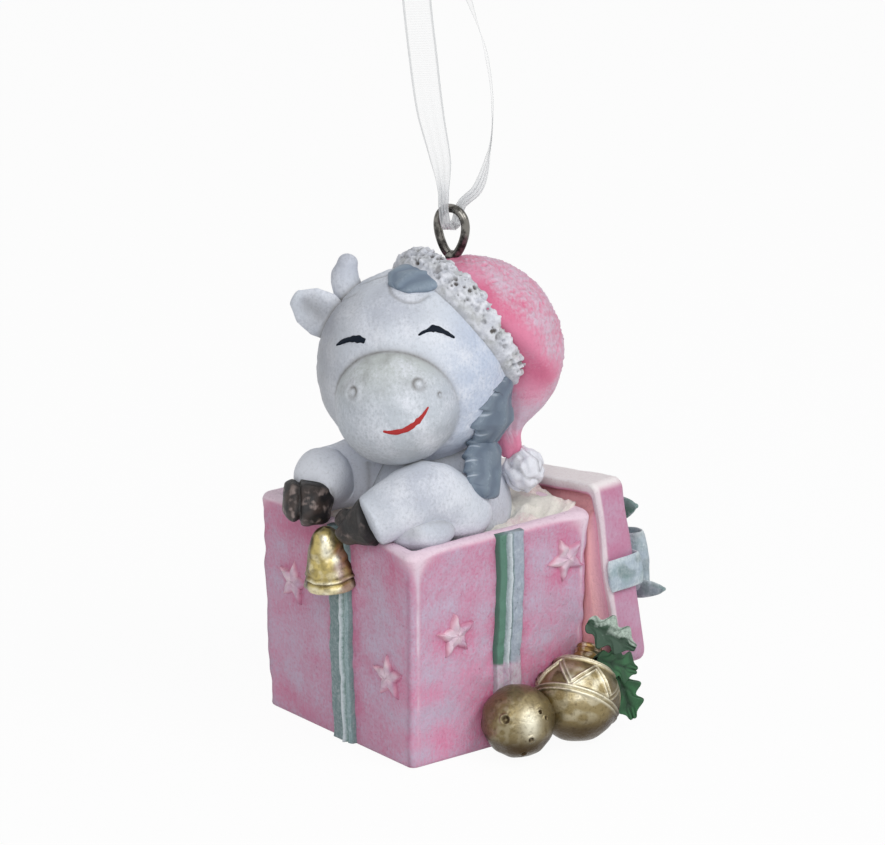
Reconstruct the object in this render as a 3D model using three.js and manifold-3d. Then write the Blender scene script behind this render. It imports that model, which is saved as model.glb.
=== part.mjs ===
// Hanging ornament in painted cast resin: a bull in a bobble hat looks out of an open gift box.
// The box's lid leans on the back of the box, and two baubles lie at its right-hand side.
// Millimetres, +Z up. The front of the box faces -Y. The origin is the middle of the flat base.
import * as THREE from 'three';
import { mergeVertices } from 'three/addons/utils/BufferGeometryUtils.js';
import { RoundedBoxGeometry } from 'three/addons/geometries/RoundedBoxGeometry.js';
import Module from 'manifold-3d';

const wasm = await Module();
wasm.setup();

const DEGREE = Math.PI / 180;
const vec = (x, y, z) => new THREE.Vector3(x, y, z);

// Clearance between two pieces that sit against each other
const SEAT_GAP = 0.3;

// Gift box
const BOX_WIDTH = 30.6;
const BOX_DEPTH = 28;
const BOX_HEIGHT = 28;
const BOX_TAPER = 0.8;
const BOX_EDGE = 1.2;
const BOX_WALL = 2;
const MOUTH_DEPTH = 7;
const TISSUE_DROP = 1.6;
const TISSUE_WAVE = 0.35;

// Relief ribbon on the box, and the places of its bands along each face
const BAND_WIDTH = 4;
const BAND_THICKNESS = 0.6;
const BAND_RIDGE = 0.35;
const BAND_END = 0.7;
const FRONT_BAND_X = 1.4;
const RIGHT_BAND_Y = 1.2;
const LEFT_BAND_Y = 0;

// Relief stars: place along the face and height above the base
const STAR_RADIUS = 2.7;
const STAR_WAIST = 1.2;
const STAR_EDGE = 0.35;
const STAR_PEAK = 0.55;
const FRONT_STAR_LEFT = [-8.4, 18];
const FRONT_STAR_RIGHT = [10.4, 10.9];
const RIGHT_STAR_LOWER = [-6.9, 16.2];
const RIGHT_STAR_UPPER = [10.2, 22.4];
const LEFT_STAR_UPPER = [-7, 20];
const LEFT_STAR_LOWER = [7.5, 10];

// Lid, leaning on the back of the box with its right-hand end raised
const LID_WIDTH = 31;
const LID_LENGTH = 23.5;
const LID_THICKNESS = 4.8;
const LID_EDGE = 1;
const LID_LEAN = 3;
const LID_TILT = 9;
const LID_X = 15.4;
const LID_RISE = 3.1;
const LID_PLUG_INSET = 2.5;

// Bow on the lid
const BOW_LOOP_LENGTH = 10.5;
const BOW_LOOP_HEIGHT = 4.2;
const BOW_LOOP_WIDTH = 5.6;
const BOW_LOOP_SWING = 3;
const BOW_LOOP_LIFT = 0.8;
const BOW_RIBBON = 0.9;
const BOW_KNOT_RADIUS = 2.1;
const BOW_TAIL_WIDTH = 3.6;
const BOW_TAIL_THICKNESS = 0.9;
const BOW_TAIL_UPPER_TIP = [11.6, 3.2, 7];
const BOW_TAIL_LOWER_TIP = [13.8, 3.5, -4.4];

// Bull's body and head
const BODY_X = 1;
const BODY_Y = 1.2;
const BODY_RADIUS = 9.2;
const BODY_FOOT = 4;
const NECK_RADIUS = 5;
const NECK_RISE = 12;
const HEAD_RADIUS = 12;
const HEAD_X = -0.3;
const HEAD_Y = -1.2;
const HEAD_RISE = 17.6;
const FACE_YAW = 36;
const FACE_ROLL = 12;
const MUZZLE_WIDTH = 15;
const MUZZLE_HEIGHT = 14.5;
const MUZZLE_FORWARD = 9.4;
const MUZZLE_DROP = 2.2;
const NOSTRIL_RADIUS = 0.85;
const EAR_LENGTH = 6.2;
const EAR_WIDTH = 6.2;
const EAR_THICKNESS = 1.9;
const HORN_RADIUS = 1.75;
const HORN_LENGTH = 4;
const FORELOCK_LENGTH = 5.4;
const FORELOCK_WIDTH = 5.6;
const FORELOCK_THICKNESS = 1.9;
const MANE_WIDTH = 6.4;
const MANE_THICKNESS = 2.8;

// Arms and hooves: each joint's place sideways, behind the box's front and above its rim
const RIGHT_SHOULDER = [-4.6, 10.2, 4.4];
const RIGHT_ELBOW = [-5.6, 3.7, 3.4];
const RIGHT_WRIST = [-3.3, 0.9, 4.9];
const LEFT_SHOULDER = [9.5, 11.5, 1.6];
const LEFT_ELBOW = [10.4, 5.6, 5.2];
const LEFT_WRIST = [9.2, 0.8, 3.1];
const ARM_RADIUS = 4.1;
const WRIST_RADIUS = 3.4;
const HOOF_RADIUS = 3.2;
const HOOF_TIP_RADIUS = 2.7;
const HOOF_LENGTH = 4;
const HOOF_CLEFT = 0.6;
const HOOF_CLEFT_DEPTH = 0.8;

// Hat
const HAT_YAW = 8.4;
const HAT_RISE = 35;
const BRIM_OFFSET = 7.9;
const BRIM_RADIUS = 9.4;
const BRIM_WIDTH = 4;
const BRIM_THICKNESS = 3.2;
const CROWN_OFFSET = 6.8;
const CROWN_RADIUS = 10.9;
const CROWN_SAG = 2;
const TAIL_ROOT_RADIUS = 6;
const TAIL_BEND_RADIUS = 4;
const TAIL_RADIUS = 2.5;
const TAIL_TIP_RADIUS = 1.2;
const BOBBLE_RADIUS = 2.5;

// Bell
const BELL_RADIUS = 3.2;
const BELL_HEIGHT = 7.9;
const BELL_LIP = 1.3;
const BELL_LEAN = 9;
const BELL_X = 0.9;
const BELL_TOP_RISE = 0.3;

// Baubles and leaves at the right-hand side
const LARGE_BAUBLE_RADIUS = 5.3;
const LARGE_BAUBLE_Y = 9.1;
const LARGE_BAUBLE_Z = 5.7;
const LARGE_BAUBLE_SINK = 1.3;
const BAUBLE_CAP_RADIUS = 1.7;
const BAUBLE_CAP_LENGTH = 1.9;
const SMALL_BAUBLE_RADIUS = 4.5;
const SMALL_BAUBLE_Y = 0.15;
const SMALL_BAUBLE_SINK = 0.7;
const GROUND_CLEARANCE = 0.1;
const LEAF_LENGTH = 7;
const LEAF_WIDTH = 4.8;
const LEAF_THICKNESS = 0.9;

// Wire eye
const WIRE_RADIUS = 0.55;
const EYE_WIDTH = 5.3;
const EYE_HEIGHT = 6.3;
const EYE_YAW = 22;
const EYE_X = -1.2;
const EYE_Y = 5.2;
const EYE_RISE = 0.5;
const SHANK_RADIUS = 0.8;
const SHANK_LENGTH = 6;
const SHANK_CLEARANCE = 0.2;

// Hanging ribbon: a loop through the eye, tied in a knot above
const RIBBON_WIDTH = 4.2;
const RIBBON_GATHER = 1.3;
const RIBBON_THICKNESS = 0.45;
const RIBBON_LOOP = 44;
const RIBBON_STANDOFF = 1.35;
const KNOT_RADIUS = 1.7;
const KNOT_TAIL = 8;

// Basic shapes and solids

// Solid of a three.js geometry: only the merged positions count
function solid(geometry) {
  const bare = geometry.clone();
  bare.deleteAttribute('normal');
  bare.deleteAttribute('uv');
  const merged = mergeVertices(bare, 1e-4);
  const shell = new wasm.Mesh({
    numProp: 3,
    vertProperties: new Float32Array(merged.attributes.position.array),
    triVerts: new Uint32Array(merged.index.array),
  });
  shell.merge();
  return new wasm.Manifold(shell);
}

function cut(whole, ...tools) {
  return tools.reduce((rest, tool) => rest.subtract(tool), whole);
}

function join(first, ...others) {
  return others.reduce((sum, other) => sum.add(other), first);
}

// The largest piece of a cut solid, without loose chips
function main(whole) {
  const pieces = whole.decompose();
  return pieces.reduce((best, piece) => (piece.volume() > best.volume() ? piece : best));
}

// Matrix with the given right-handed axes and origin
function placement(x, y, z, origin) {
  return new THREE.Matrix4().makeBasis(x, y, z).setPosition(origin);
}

// Axes around a direction: z along it, and y as near to the hint as it can be
function axesAlong(direction, hint) {
  const z = direction.clone().normalize();
  const x = hint.clone().cross(z).normalize();
  const y = z.clone().cross(x);
  return { x, y, z };
}

function ball(centre, rx, ry, rz, across, down) {
  const geometry = new THREE.SphereGeometry(1, across, down);
  geometry.scale(rx, ry, rz);
  geometry.translate(centre.x, centre.y, centre.z);
  return solid(geometry);
}

// Closed skin over rings of points with equal counts, capped at both ends or joined into a loop
function skin(rings, looped = false) {
  const count = rings[0].length;
  const points = rings.flat();
  const faces = [];
  const last = looped ? rings.length : rings.length - 1;
  for (let i = 0; i < last; i += 1) {
    const next = (i + 1) % rings.length;
    for (let j = 0; j < count; j += 1) {
      const k = (j + 1) % count;
      const a = i * count + j;
      const b = i * count + k;
      const c = next * count + k;
      const d = next * count + j;
      faces.push(a, b, c, a, c, d);
    }
  }
  if (!looped) {
    const end = rings.length - 1;
    const middle = (ring) => ring.reduce((sum, p) => sum.add(p), vec(0, 0, 0)).divideScalar(count);
    const first = points.length;
    points.push(middle(rings[0]), middle(rings[end]));
    for (let j = 0; j < count; j += 1) {
      const k = (j + 1) % count;
      faces.push(first, k, j);
      faces.push(first + 1, end * count + j, end * count + k);
    }
  }
  const volume = faces.reduce((sum, _, i) => {
    if (i % 3) return sum;
    const [p, q, r] = [points[faces[i]], points[faces[i + 1]], points[faces[i + 2]]];
    return sum + p.dot(q.clone().cross(r));
  }, 0);
  const geometry = new THREE.BufferGeometry();
  geometry.setAttribute('position', new THREE.Float32BufferAttribute(points.flatMap((p) => p.toArray()), 3));
  geometry.setIndex(volume < 0 ? faces.reverse() : faces);
  return geometry;
}

// Oval ring of points round a centre
function oval(centre, across, up, halfWidth, halfHeight, sides) {
  return Array.from({ length: sides }, (_, j) => {
    const angle = (2 * Math.PI * j) / sides;
    return centre.clone()
      .addScaledVector(across, halfWidth * Math.cos(angle))
      .addScaledVector(up, halfHeight * Math.sin(angle));
  });
}

// Limb with rounded ends along a smooth path. Each radius belongs to one path point, and flat
// below 1 thins the limb along the direction called face.
function limb(path, radii, { grow = 0, sides = 14, steps = 8, flat = 1, face = vec(0, 0, 1) } = {}) {
  const curve = new THREE.CatmullRomCurve3(path, false, 'centripetal');
  const radiusAt = (t) => {
    const place = t * (radii.length - 1);
    const i = Math.min(Math.floor(place), radii.length - 2);
    return THREE.MathUtils.lerp(radii[i], radii[i + 1], place - i);
  };
  const ringAt = (t, slide, shrink) => {
    const tangent = curve.getTangent(t);
    const { x, y } = axesAlong(tangent, face);
    const radius = radiusAt(t);
    const centre = curve.getPoint(t).addScaledVector(tangent, slide * (radius * flat + grow));
    return oval(centre, x, y, (radius + grow) * shrink, (radius * flat + grow) * shrink, sides);
  };
  const rounding = [80, 55, 28];
  const rings = [
    ...rounding.map((angle) => ringAt(0, -Math.sin(angle * DEGREE), Math.cos(angle * DEGREE))),
    ...Array.from({ length: steps + 1 }, (_, i) => ringAt(i / steps, 0, 1)),
    ...rounding.toReversed().map((angle) => ringAt(1, Math.sin(angle * DEGREE), Math.cos(angle * DEGREE))),
  ];
  return solid(skin(rings));
}

// Lathe solid about a local z axis, from radius and height pairs that start and end on the axis
function turned(profile, sides, matrix) {
  const outline = profile.map(([radius, height]) => new THREE.Vector2(Math.max(radius, 0), height));
  const geometry = new THREE.LatheGeometry(outline, sides);
  geometry.rotateX(Math.PI / 2);
  geometry.applyMatrix4(matrix);
  return solid(geometry);
}

// Gift box: its faces lean in toward the base

const halfWidthAt = (z) => BOX_WIDTH / 2 - BOX_TAPER * (1 - z / BOX_HEIGHT);
const halfDepthAt = (z) => BOX_DEPTH / 2 - BOX_TAPER * (1 - z / BOX_HEIGHT);
const RIM = BOX_HEIGHT;

function boxBlock(grow) {
  const geometry = new RoundedBoxGeometry(
    BOX_WIDTH + 2 * grow, BOX_DEPTH + 2 * grow, BOX_HEIGHT + 2 * grow, 3, BOX_EDGE + grow,
  );
  geometry.translate(0, 0, BOX_HEIGHT / 2);
  const at = geometry.attributes.position;
  for (let i = 0; i < at.count; i += 1) {
    const shrink = BOX_TAPER * (1 - at.getZ(i) / BOX_HEIGHT);
    at.setX(i, at.getX(i) * (1 - (2 * shrink) / BOX_WIDTH));
    at.setY(i, at.getY(i) * (1 - (2 * shrink) / BOX_DEPTH));
  }
  return solid(geometry);
}

// The mouth's walls stand upright, so they keep their thickness at the mouth's floor
const MOUTH_INSET = BOX_WALL + BOX_TAPER * (MOUTH_DEPTH / BOX_HEIGHT);

// Inner space of the box's mouth, smaller on every side by the inset
function mouth(inset, top) {
  const floor = RIM - MOUTH_DEPTH + inset;
  const geometry = new RoundedBoxGeometry(
    BOX_WIDTH - 2 * (MOUTH_INSET + inset), BOX_DEPTH - 2 * (MOUTH_INSET + inset), top - floor, 2, 1,
  );
  geometry.translate(0, 0, (top + floor) / 2);
  return geometry;
}

// A face's own frame: x along the face, y up its slope, z out of it
const FACES = {
  front: { along: vec(1, 0, 0), out: vec(0, -1, 0), half: halfDepthAt },
  right: { along: vec(0, 1, 0), out: vec(1, 0, 0), half: halfWidthAt },
  left: { along: vec(0, -1, 0), out: vec(-1, 0, 0), half: halfWidthAt },
};

function onFace(name, place, height, standoff) {
  const { along, out, half } = FACES[name];
  const slope = vec(0, 0, BOX_HEIGHT).addScaledVector(out, BOX_TAPER).normalize();
  const normal = along.clone().cross(slope);
  const origin = vec(0, 0, height).addScaledVector(along, place).addScaledVector(out, half(height));
  origin.addScaledVector(normal, standoff);
  return placement(along, slope, normal, origin);
}

// Relief band that runs up the whole face, with a ridge along its middle
function faceBand(name, place, grow = 0) {
  const half = BAND_WIDTH / 2 + grow;
  const low = -grow;
  const high = BAND_THICKNESS + grow;
  const section = new THREE.Shape([
    [-half, low], [half, low], [half, high], [0.7 + grow, high],
    [0, high + BAND_RIDGE], [-0.7 - grow, high], [-half, high],
  ].map(([x, y]) => new THREE.Vector2(x, y)));
  const length = BOX_HEIGHT - 2 * BAND_END + 2 * grow;
  const geometry = new THREE.ExtrudeGeometry(section, { depth: length, bevelEnabled: false });
  geometry.rotateX(Math.PI / 2);
  geometry.translate(0, length, 0);
  geometry.applyMatrix4(onFace(name, place, BAND_END - grow, SEAT_GAP));
  return solid(geometry);
}

// Five-pointed star with an upright edge and a ridged top that rises to the middle
function star(name, [place, height]) {
  const rim = Array.from({ length: 10 }, (_, i) => {
    const angle = (i * 36 + 90) * DEGREE;
    const radius = i % 2 ? STAR_WAIST : STAR_RADIUS;
    return vec(radius * Math.cos(angle), radius * Math.sin(angle), 0);
  });
  const raised = rim.map((p) => vec(p.x, p.y, STAR_EDGE));
  const peak = rim.map((p) => vec(p.x * 0.02, p.y * 0.02, STAR_EDGE + STAR_PEAK));
  const geometry = skin([rim, raised, peak]);
  geometry.applyMatrix4(onFace(name, place, height, SEAT_GAP));
  return solid(geometry);
}

const frontBand = (grow) => faceBand('front', FRONT_BAND_X, grow);
const rightBand = (grow) => faceBand('right', RIGHT_BAND_Y, grow);

// Lid: local x along its top edge, y out of its outer face, z up its slope, origin at the raised corner

const lidAxes = (() => {
  const x = vec(Math.cos(LID_TILT * DEGREE), 0, Math.sin(LID_TILT * DEGREE));
  const out = vec(0, Math.cos(LID_LEAN * DEGREE), Math.sin(LID_LEAN * DEGREE));
  const y = out.addScaledVector(x, -out.dot(x)).normalize();
  return { x, y, z: x.clone().cross(y) };
})();
const lidCorner = vec(LID_X, BOX_DEPTH / 2 + SEAT_GAP, RIM + LID_RISE);
const lidPlace = placement(lidAxes.x, lidAxes.y, lidAxes.z, lidCorner);
const LID_MIDDLE_X = -LID_WIDTH / 2;
const LID_MIDDLE_Z = -LID_LENGTH / 2;

function lidSlab(grow) {
  const geometry = new RoundedBoxGeometry(
    LID_WIDTH + 2 * grow, LID_THICKNESS + 2 * grow, LID_LENGTH + 2 * grow, 2, LID_EDGE + grow,
  );
  geometry.translate(LID_MIDDLE_X, LID_THICKNESS / 2, LID_MIDDLE_Z);
  geometry.applyMatrix4(lidPlace);
  return solid(geometry);
}

// Filling between the lid and the box, which carries the lid on the back wall
function lidPlug() {
  const reach = 4;
  const geometry = new THREE.BoxGeometry(
    LID_WIDTH - 2 * LID_PLUG_INSET, reach + LID_THICKNESS / 2, LID_LENGTH - 2 * LID_PLUG_INSET,
  );
  geometry.translate(LID_MIDDLE_X, (LID_THICKNESS / 2 - reach) / 2, LID_MIDDLE_Z);
  geometry.applyMatrix4(lidPlace);
  const wide = BOX_WIDTH - 2 * (BOX_TAPER + BOX_EDGE);
  const backWall = new THREE.BoxGeometry(wide, 2 * BOX_DEPTH, BOX_HEIGHT - 2 * BOX_EDGE);
  backWall.translate(0, BOX_DEPTH, BOX_HEIGHT / 2);
  return solid(geometry).intersect(solid(backWall));
}

// Box in the lid's frame, given by its extent on each axis
function lidBox([x0, x1], [y0, y1], [z0, z1]) {
  const geometry = new THREE.BoxGeometry(x1 - x0, y1 - y0, z1 - z0);
  geometry.translate((x0 + x1) / 2, (y0 + y1) / 2, (z0 + z1) / 2);
  geometry.applyMatrix4(lidPlace);
  return solid(geometry);
}

// Crossed ribbon round the lid's outer face and its edges
function lidRibbon(grow) {
  const lift = SEAT_GAP + BAND_THICKNESS + grow;
  const half = BAND_WIDTH / 2 + grow;
  const across = lidBox(
    [-LID_WIDTH - lift, lift], [LID_EDGE - grow, LID_THICKNESS + lift], [LID_MIDDLE_Z - half, LID_MIDDLE_Z + half],
  );
  const along = lidBox(
    [LID_MIDDLE_X - half, LID_MIDDLE_X + half], [LID_THICKNESS / 2, LID_THICKNESS + lift],
    [BAND_END - LID_LENGTH - grow, grow - BAND_END],
  );
  return cut(join(across, along), lidSlab(SEAT_GAP - grow));
}

// Bow on the lid: its own frame has the same axes, with the origin on the ribbon's crossing
const bowOrigin = vec(LID_MIDDLE_X, LID_THICKNESS + 2 * SEAT_GAP + BAND_THICKNESS, LID_MIDDLE_Z);
const bowPlace = lidPlace.clone().multiply(new THREE.Matrix4().setPosition(bowOrigin));

// Drop-shaped loop of ribbon that leaves the knot sideways, above the tails
function bowLoop(side, grow = 0) {
  const drop = (inset) => {
    const base = inset * 1.6;
    const long = BOW_LOOP_LENGTH - inset;
    const low = inset;
    const high = BOW_LOOP_HEIGHT - inset;
    const middle = BOW_LOOP_HEIGHT / 2;
    const outline = inset > 0 ? new THREE.Path() : new THREE.Shape();
    outline.moveTo(base, middle - 0.7 + inset * 0.6);
    outline.bezierCurveTo(base + 2, low, long - 3, low - 0.4, long, middle);
    outline.bezierCurveTo(long - 0.3, high + 0.6, base + 3, high, base, middle + 0.7 - inset * 0.6);
    outline.lineTo(base, middle - 0.7 + inset * 0.6);
    return outline;
  };
  const outline = drop(-grow);
  if (!grow) outline.holes.push(drop(BOW_RIBBON));
  const wide = BOW_LOOP_WIDTH + 2 * grow;
  const geometry = new THREE.ExtrudeGeometry(outline, { depth: wide, bevelEnabled: false, curveSegments: 6 });
  geometry.translate(BOW_KNOT_RADIUS * 0.55, BOW_LOOP_LIFT, -wide / 2);
  const swing = new THREE.Matrix4().makeRotationY(-BOW_LOOP_SWING * DEGREE + (side > 0 ? 0 : Math.PI));
  geometry.applyMatrix4(swing);
  geometry.applyMatrix4(bowPlace);
  return solid(geometry);
}

// Knot that sits on the crossing and reaches over the loops' middles
function bowKnot(grow) {
  const r = BOW_KNOT_RADIUS + grow;
  const middle = BOW_LOOP_HEIGHT / 2 + BOW_LOOP_LIFT;
  const geometry = new THREE.SphereGeometry(1, 16, 10);
  geometry.scale(r, middle + grow, r * 1.25);
  geometry.translate(0, middle, 0);
  geometry.applyMatrix4(bowPlace);
  return solid(geometry);
}

// Flat tail from the knot to a tip, both in the bow's frame
function bowTail(place) {
  const tip = vec(...place);
  const thick = BOW_TAIL_THICKNESS / 2;
  const start = vec(BOW_KNOT_RADIUS * 0.38, thick + 0.15, Math.sign(tip.z) * BOW_KNOT_RADIUS * 0.76);
  const middle = vec(tip.x * 0.5, tip.y * 0.1, tip.z * 0.95);
  const curve = new THREE.QuadraticBezierCurve3(start, middle, tip);
  const rings = Array.from({ length: 9 }, (_, i) => {
    const t = i / 8;
    const { x, y } = axesAlong(curve.getTangent(t), vec(0, 1, 0));
    const half = (BOW_TAIL_WIDTH / 2) * (0.6 + 0.4 * t);
    const centre = curve.getPoint(t);
    return [[-half, -thick], [half, -thick], [half, thick], [-half, thick]].map(
      ([across, up]) => centre.clone().addScaledVector(x, across).addScaledVector(y, up),
    );
  });
  const geometry = skin(rings);
  geometry.applyMatrix4(bowPlace);
  return solid(geometry);
}

// Bull

const headCentre = vec(HEAD_X, HEAD_Y, RIM + HEAD_RISE);
const forward = vec(Math.sin(FACE_YAW * DEGREE), -Math.cos(FACE_YAW * DEGREE), 0);
const level = vec(Math.cos(FACE_YAW * DEGREE), Math.sin(FACE_YAW * DEGREE), 0);
const faceLeft = level.clone().multiplyScalar(Math.cos(FACE_ROLL * DEGREE)).addScaledVector(
  vec(0, 0, 1), Math.sin(FACE_ROLL * DEGREE),
);
const faceUp = faceLeft.clone().cross(forward).negate();

// Point given in the face's own directions, from the head's middle
function onHead(ahead, left, up) {
  return headCentre.clone()
    .addScaledVector(forward, ahead).addScaledVector(faceLeft, left).addScaledVector(faceUp, up);
}

const head = (grow) => ball(headCentre, HEAD_RADIUS + grow, HEAD_RADIUS + grow, HEAD_RADIUS + grow, 30, 17);

// Body that stands in a hollow of the tissue
function body(grow) {
  const floor = RIM - BODY_FOOT - grow;
  const r = BODY_RADIUS + grow;
  const profile = [
    [0, floor], [r - 1.2, floor], [r - 0.3, floor + 1.2], [r, RIM - 1], [r - 0.25, RIM + 1.5], [r - 1.2, RIM + 4],
    [r - 2.7, RIM + 6.5], [NECK_RADIUS + 0.6 + grow, RIM + 9], [NECK_RADIUS + grow, RIM + NECK_RISE],
    [0, RIM + NECK_RISE],
  ];
  return turned(profile, 26, new THREE.Matrix4().setPosition(BODY_X, BODY_Y, 0));
}

const muzzleCentre = onHead(MUZZLE_FORWARD, 0, -MUZZLE_DROP);
const facePlace = (origin) => placement(faceLeft, forward.clone().negate(), faceUp, origin);

function muzzle(grow) {
  const geometry = new THREE.SphereGeometry(1, 22, 12);
  geometry.scale(MUZZLE_WIDTH / 2 + grow, MUZZLE_WIDTH / 2 + grow, MUZZLE_HEIGHT / 2 + grow);
  geometry.applyMatrix4(facePlace(muzzleCentre));
  return solid(geometry);
}

// Dimple on the muzzle at an angle to each side of the face
function nostril(side) {
  const direction = vec(0, 0, 0).addScaledVector(forward, 0.61)
    .addScaledVector(faceLeft, 0.59 * side).addScaledVector(faceUp, 0.52).normalize();
  const centre = muzzleCentre.clone().addScaledVector(direction, MUZZLE_WIDTH / 2);
  return ball(centre, NOSTRIL_RADIUS, NOSTRIL_RADIUS, NOSTRIL_RADIUS, 10, 6);
}

// Direction from the head's middle, in the level face frame
function headDirection(ahead, left, up) {
  return vec(0, 0, up).addScaledVector(forward, ahead).addScaledVector(level, left).normalize();
}

const earRoot = headCentre.clone().addScaledVector(headDirection(0.13, -0.88, 0.43), HEAD_RADIUS - 1);
const earDirection = headDirection(0.1, -0.86, 0.5);

// Leaf-shaped ear: a flat limb with a hollow along its front
function ear(grow) {
  const along = (share) => earRoot.clone().addScaledVector(earDirection, EAR_LENGTH * share);
  const half = EAR_WIDTH / 2;
  const path = [along(0), along(0.3), along(0.65), along(0.92)];
  const leaf = limb(path, [half * 0.6, half, half * 0.85, half * 0.3], {
    grow, flat: EAR_THICKNESS / EAR_WIDTH, face: forward, sides: 12, steps: 8,
  });
  const hollow = limb(
    [along(0.3), along(0.75)].map((p) => p.addScaledVector(forward, EAR_THICKNESS * 0.62)),
    [half * 0.55, half * 0.4],
    { flat: 0.5, face: forward, sides: 10, steps: 3 },
  );
  return grow ? leaf : cut(leaf, hollow);
}

const hornRoot = headCentre.clone().addScaledVector(headDirection(-0.05, -0.73, 0.69), HEAD_RADIUS - 0.6);

function horn(grow) {
  const tip = hornRoot.clone().addScaledVector(headDirection(-0.12, -0.15, 1), HORN_LENGTH);
  const bend = hornRoot.clone().lerp(tip, 0.5).addScaledVector(level, -0.5);
  return limb([hornRoot, bend, tip], [HORN_RADIUS, HORN_RADIUS, HORN_RADIUS * 0.75], {
    grow, sides: 12, steps: 5, face: forward,
  });
}

// Hat: its axis points up and back, and the brim lies round the head at right angles to it

const hatAxis = vec(
  Math.sin(HAT_YAW * DEGREE) * Math.cos(HAT_RISE * DEGREE),
  Math.cos(HAT_YAW * DEGREE) * Math.cos(HAT_RISE * DEGREE),
  Math.sin(HAT_RISE * DEGREE),
);
const hat = axesAlong(hatAxis, vec(0, 0, 1));
const brimCentre = headCentre.clone().addScaledVector(hat.z, BRIM_OFFSET);

// Fur roll with an uneven outer surface
function brim(grow) {
  const count = 32;
  const sides = 8;
  const rings = Array.from({ length: count }, (_, i) => {
    const angle = (2 * Math.PI * i) / count;
    const radial = hat.x.clone().multiplyScalar(Math.cos(angle)).addScaledVector(hat.y, Math.sin(angle));
    const centre = brimCentre.clone().addScaledVector(radial, BRIM_RADIUS);
    return Array.from({ length: sides }, (_unused, j) => {
      const turn = (2 * Math.PI * j) / sides;
      const lump = 1 + 0.05 * Math.sin(9 * angle + 2 * turn) + 0.04 * Math.sin(14 * angle - turn);
      return centre.clone()
        .addScaledVector(radial, (BRIM_THICKNESS / 2) * lump * Math.cos(turn) + grow * Math.cos(turn))
        .addScaledVector(hat.z, (BRIM_WIDTH / 2) * lump * Math.sin(turn) + grow * Math.sin(turn));
    });
  });
  return solid(skin(rings, true));
}

const sag = vec(0.56, 0.42, -0.71).multiplyScalar(CROWN_SAG * 1.41);
const crownCentre = headCentre.clone().addScaledVector(hat.z, CROWN_OFFSET).add(sag);
const fromCrown = (x, y, z) => crownCentre.clone().addScaledVector(vec(x, y, z), CROWN_RADIUS / 10.9);
const tailTip = fromCrown(4.7, 2.5, -12.4);

// Soft crown on the far side of the brim, with a tail that hangs down behind the cheek
function crown(grow) {
  const r = CROWN_RADIUS + grow;
  const bulb = ball(crownCentre, r, r, r, 26, 14);
  const size = 8 * HEAD_RADIUS;
  const nearSide = new THREE.BoxGeometry(size, size, size);
  nearSide.translate(0, 0, -size / 2 - grow);
  nearSide.applyMatrix4(placement(hat.x, hat.y, hat.z, brimCentre));
  const tail = limb(
    [fromCrown(2.4, 4, 0), fromCrown(4.2, 4.7, -4), fromCrown(4.4, 3.5, -8.6), tailTip],
    [TAIL_ROOT_RADIUS, TAIL_BEND_RADIUS, TAIL_RADIUS, TAIL_TIP_RADIUS],
    { grow, sides: 14, steps: 9, face: vec(0, 1, 0) },
  );
  return join(cut(bulb, solid(nearSide)), tail);
}

const bobbleCentre = tailTip.clone().add(vec(1.2, 0.9, -0.2 - TAIL_TIP_RADIUS - BOBBLE_RADIUS * 0.75));

function bobble(grow) {
  const geometry = new THREE.SphereGeometry(1, 16, 10);
  const at = geometry.attributes.position;
  for (let i = 0; i < at.count; i += 1) {
    const [x, y, z] = [at.getX(i), at.getY(i), at.getZ(i)];
    const lump = (BOBBLE_RADIUS + grow) * (1 + 0.05 * Math.sin(5 * x + 3 * z) * Math.sin(4 * y - 2 * z));
    at.setXYZ(i, x * lump, y * lump, z * lump * 1.1);
  }
  geometry.translate(bobbleCentre.x, bobbleCentre.y, bobbleCentre.z);
  return solid(geometry);
}

const forelockRoot = headCentre.clone().addScaledVector(headDirection(-0.05, 0.12, 0.99), HEAD_RADIUS);
const forelockEnd = headCentre.clone().addScaledVector(headDirection(0.34, -0.13, 0.93), HEAD_RADIUS);

function forelock(grow) {
  const span = forelockEnd.clone().sub(forelockRoot).normalize();
  const tip = forelockRoot.clone().addScaledVector(span, FORELOCK_LENGTH);
  const middle = forelockRoot.clone().lerp(tip, 0.5).addScaledVector(vec(0, 0, 1), 0.35);
  const half = FORELOCK_WIDTH / 2;
  return limb([forelockRoot, middle, tip], [half * 0.75, half, half * 0.9], {
    grow, flat: FORELOCK_THICKNESS / FORELOCK_WIDTH, face: vec(0, 0, 1), sides: 12, steps: 6,
  });
}

// Mane: two flat locks behind the cheek, one above the other
const maneOptions = (grow, face) => ({
  grow, face, flat: MANE_THICKNESS / MANE_WIDTH, sides: 12, steps: 6,
});
const behindCheek = (x, y, z) => headCentre.clone().addScaledVector(vec(x, y, z), HEAD_RADIUS / 12);

function maneUpper(grow) {
  const half = MANE_WIDTH / 2;
  const path = [
    behindCheek(10, 6.2, -1), behindCheek(10.4, 4.6, -3), behindCheek(10.5, 4, -5.2), behindCheek(9.6, 4, -7.8),
  ];
  const halves = [half * 0.55, half * 0.95, half, half * 0.6];
  return limb(path, halves, maneOptions(grow, vec(0.93, 0.12, -0.2)));
}

function maneLower(grow) {
  const half = MANE_WIDTH / 2;
  const path = [behindCheek(8.9, 4.2, -8.6), behindCheek(9.6, 3.2, -11.2), behindCheek(10.4, 2.6, -14)];
  return limb(path, [half * 0.8, half * 0.8, half * 0.48], maneOptions(grow, vec(0.97, 0.1, 0)));
}

// Arms over the front rim: the right arm is the bull's own right

const overRim = ([x, back, rise]) => vec(x, back - BOX_DEPTH / 2, RIM + rise);
const rightWrist = overRim(RIGHT_WRIST);
const leftWrist = overRim(LEFT_WRIST);

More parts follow.
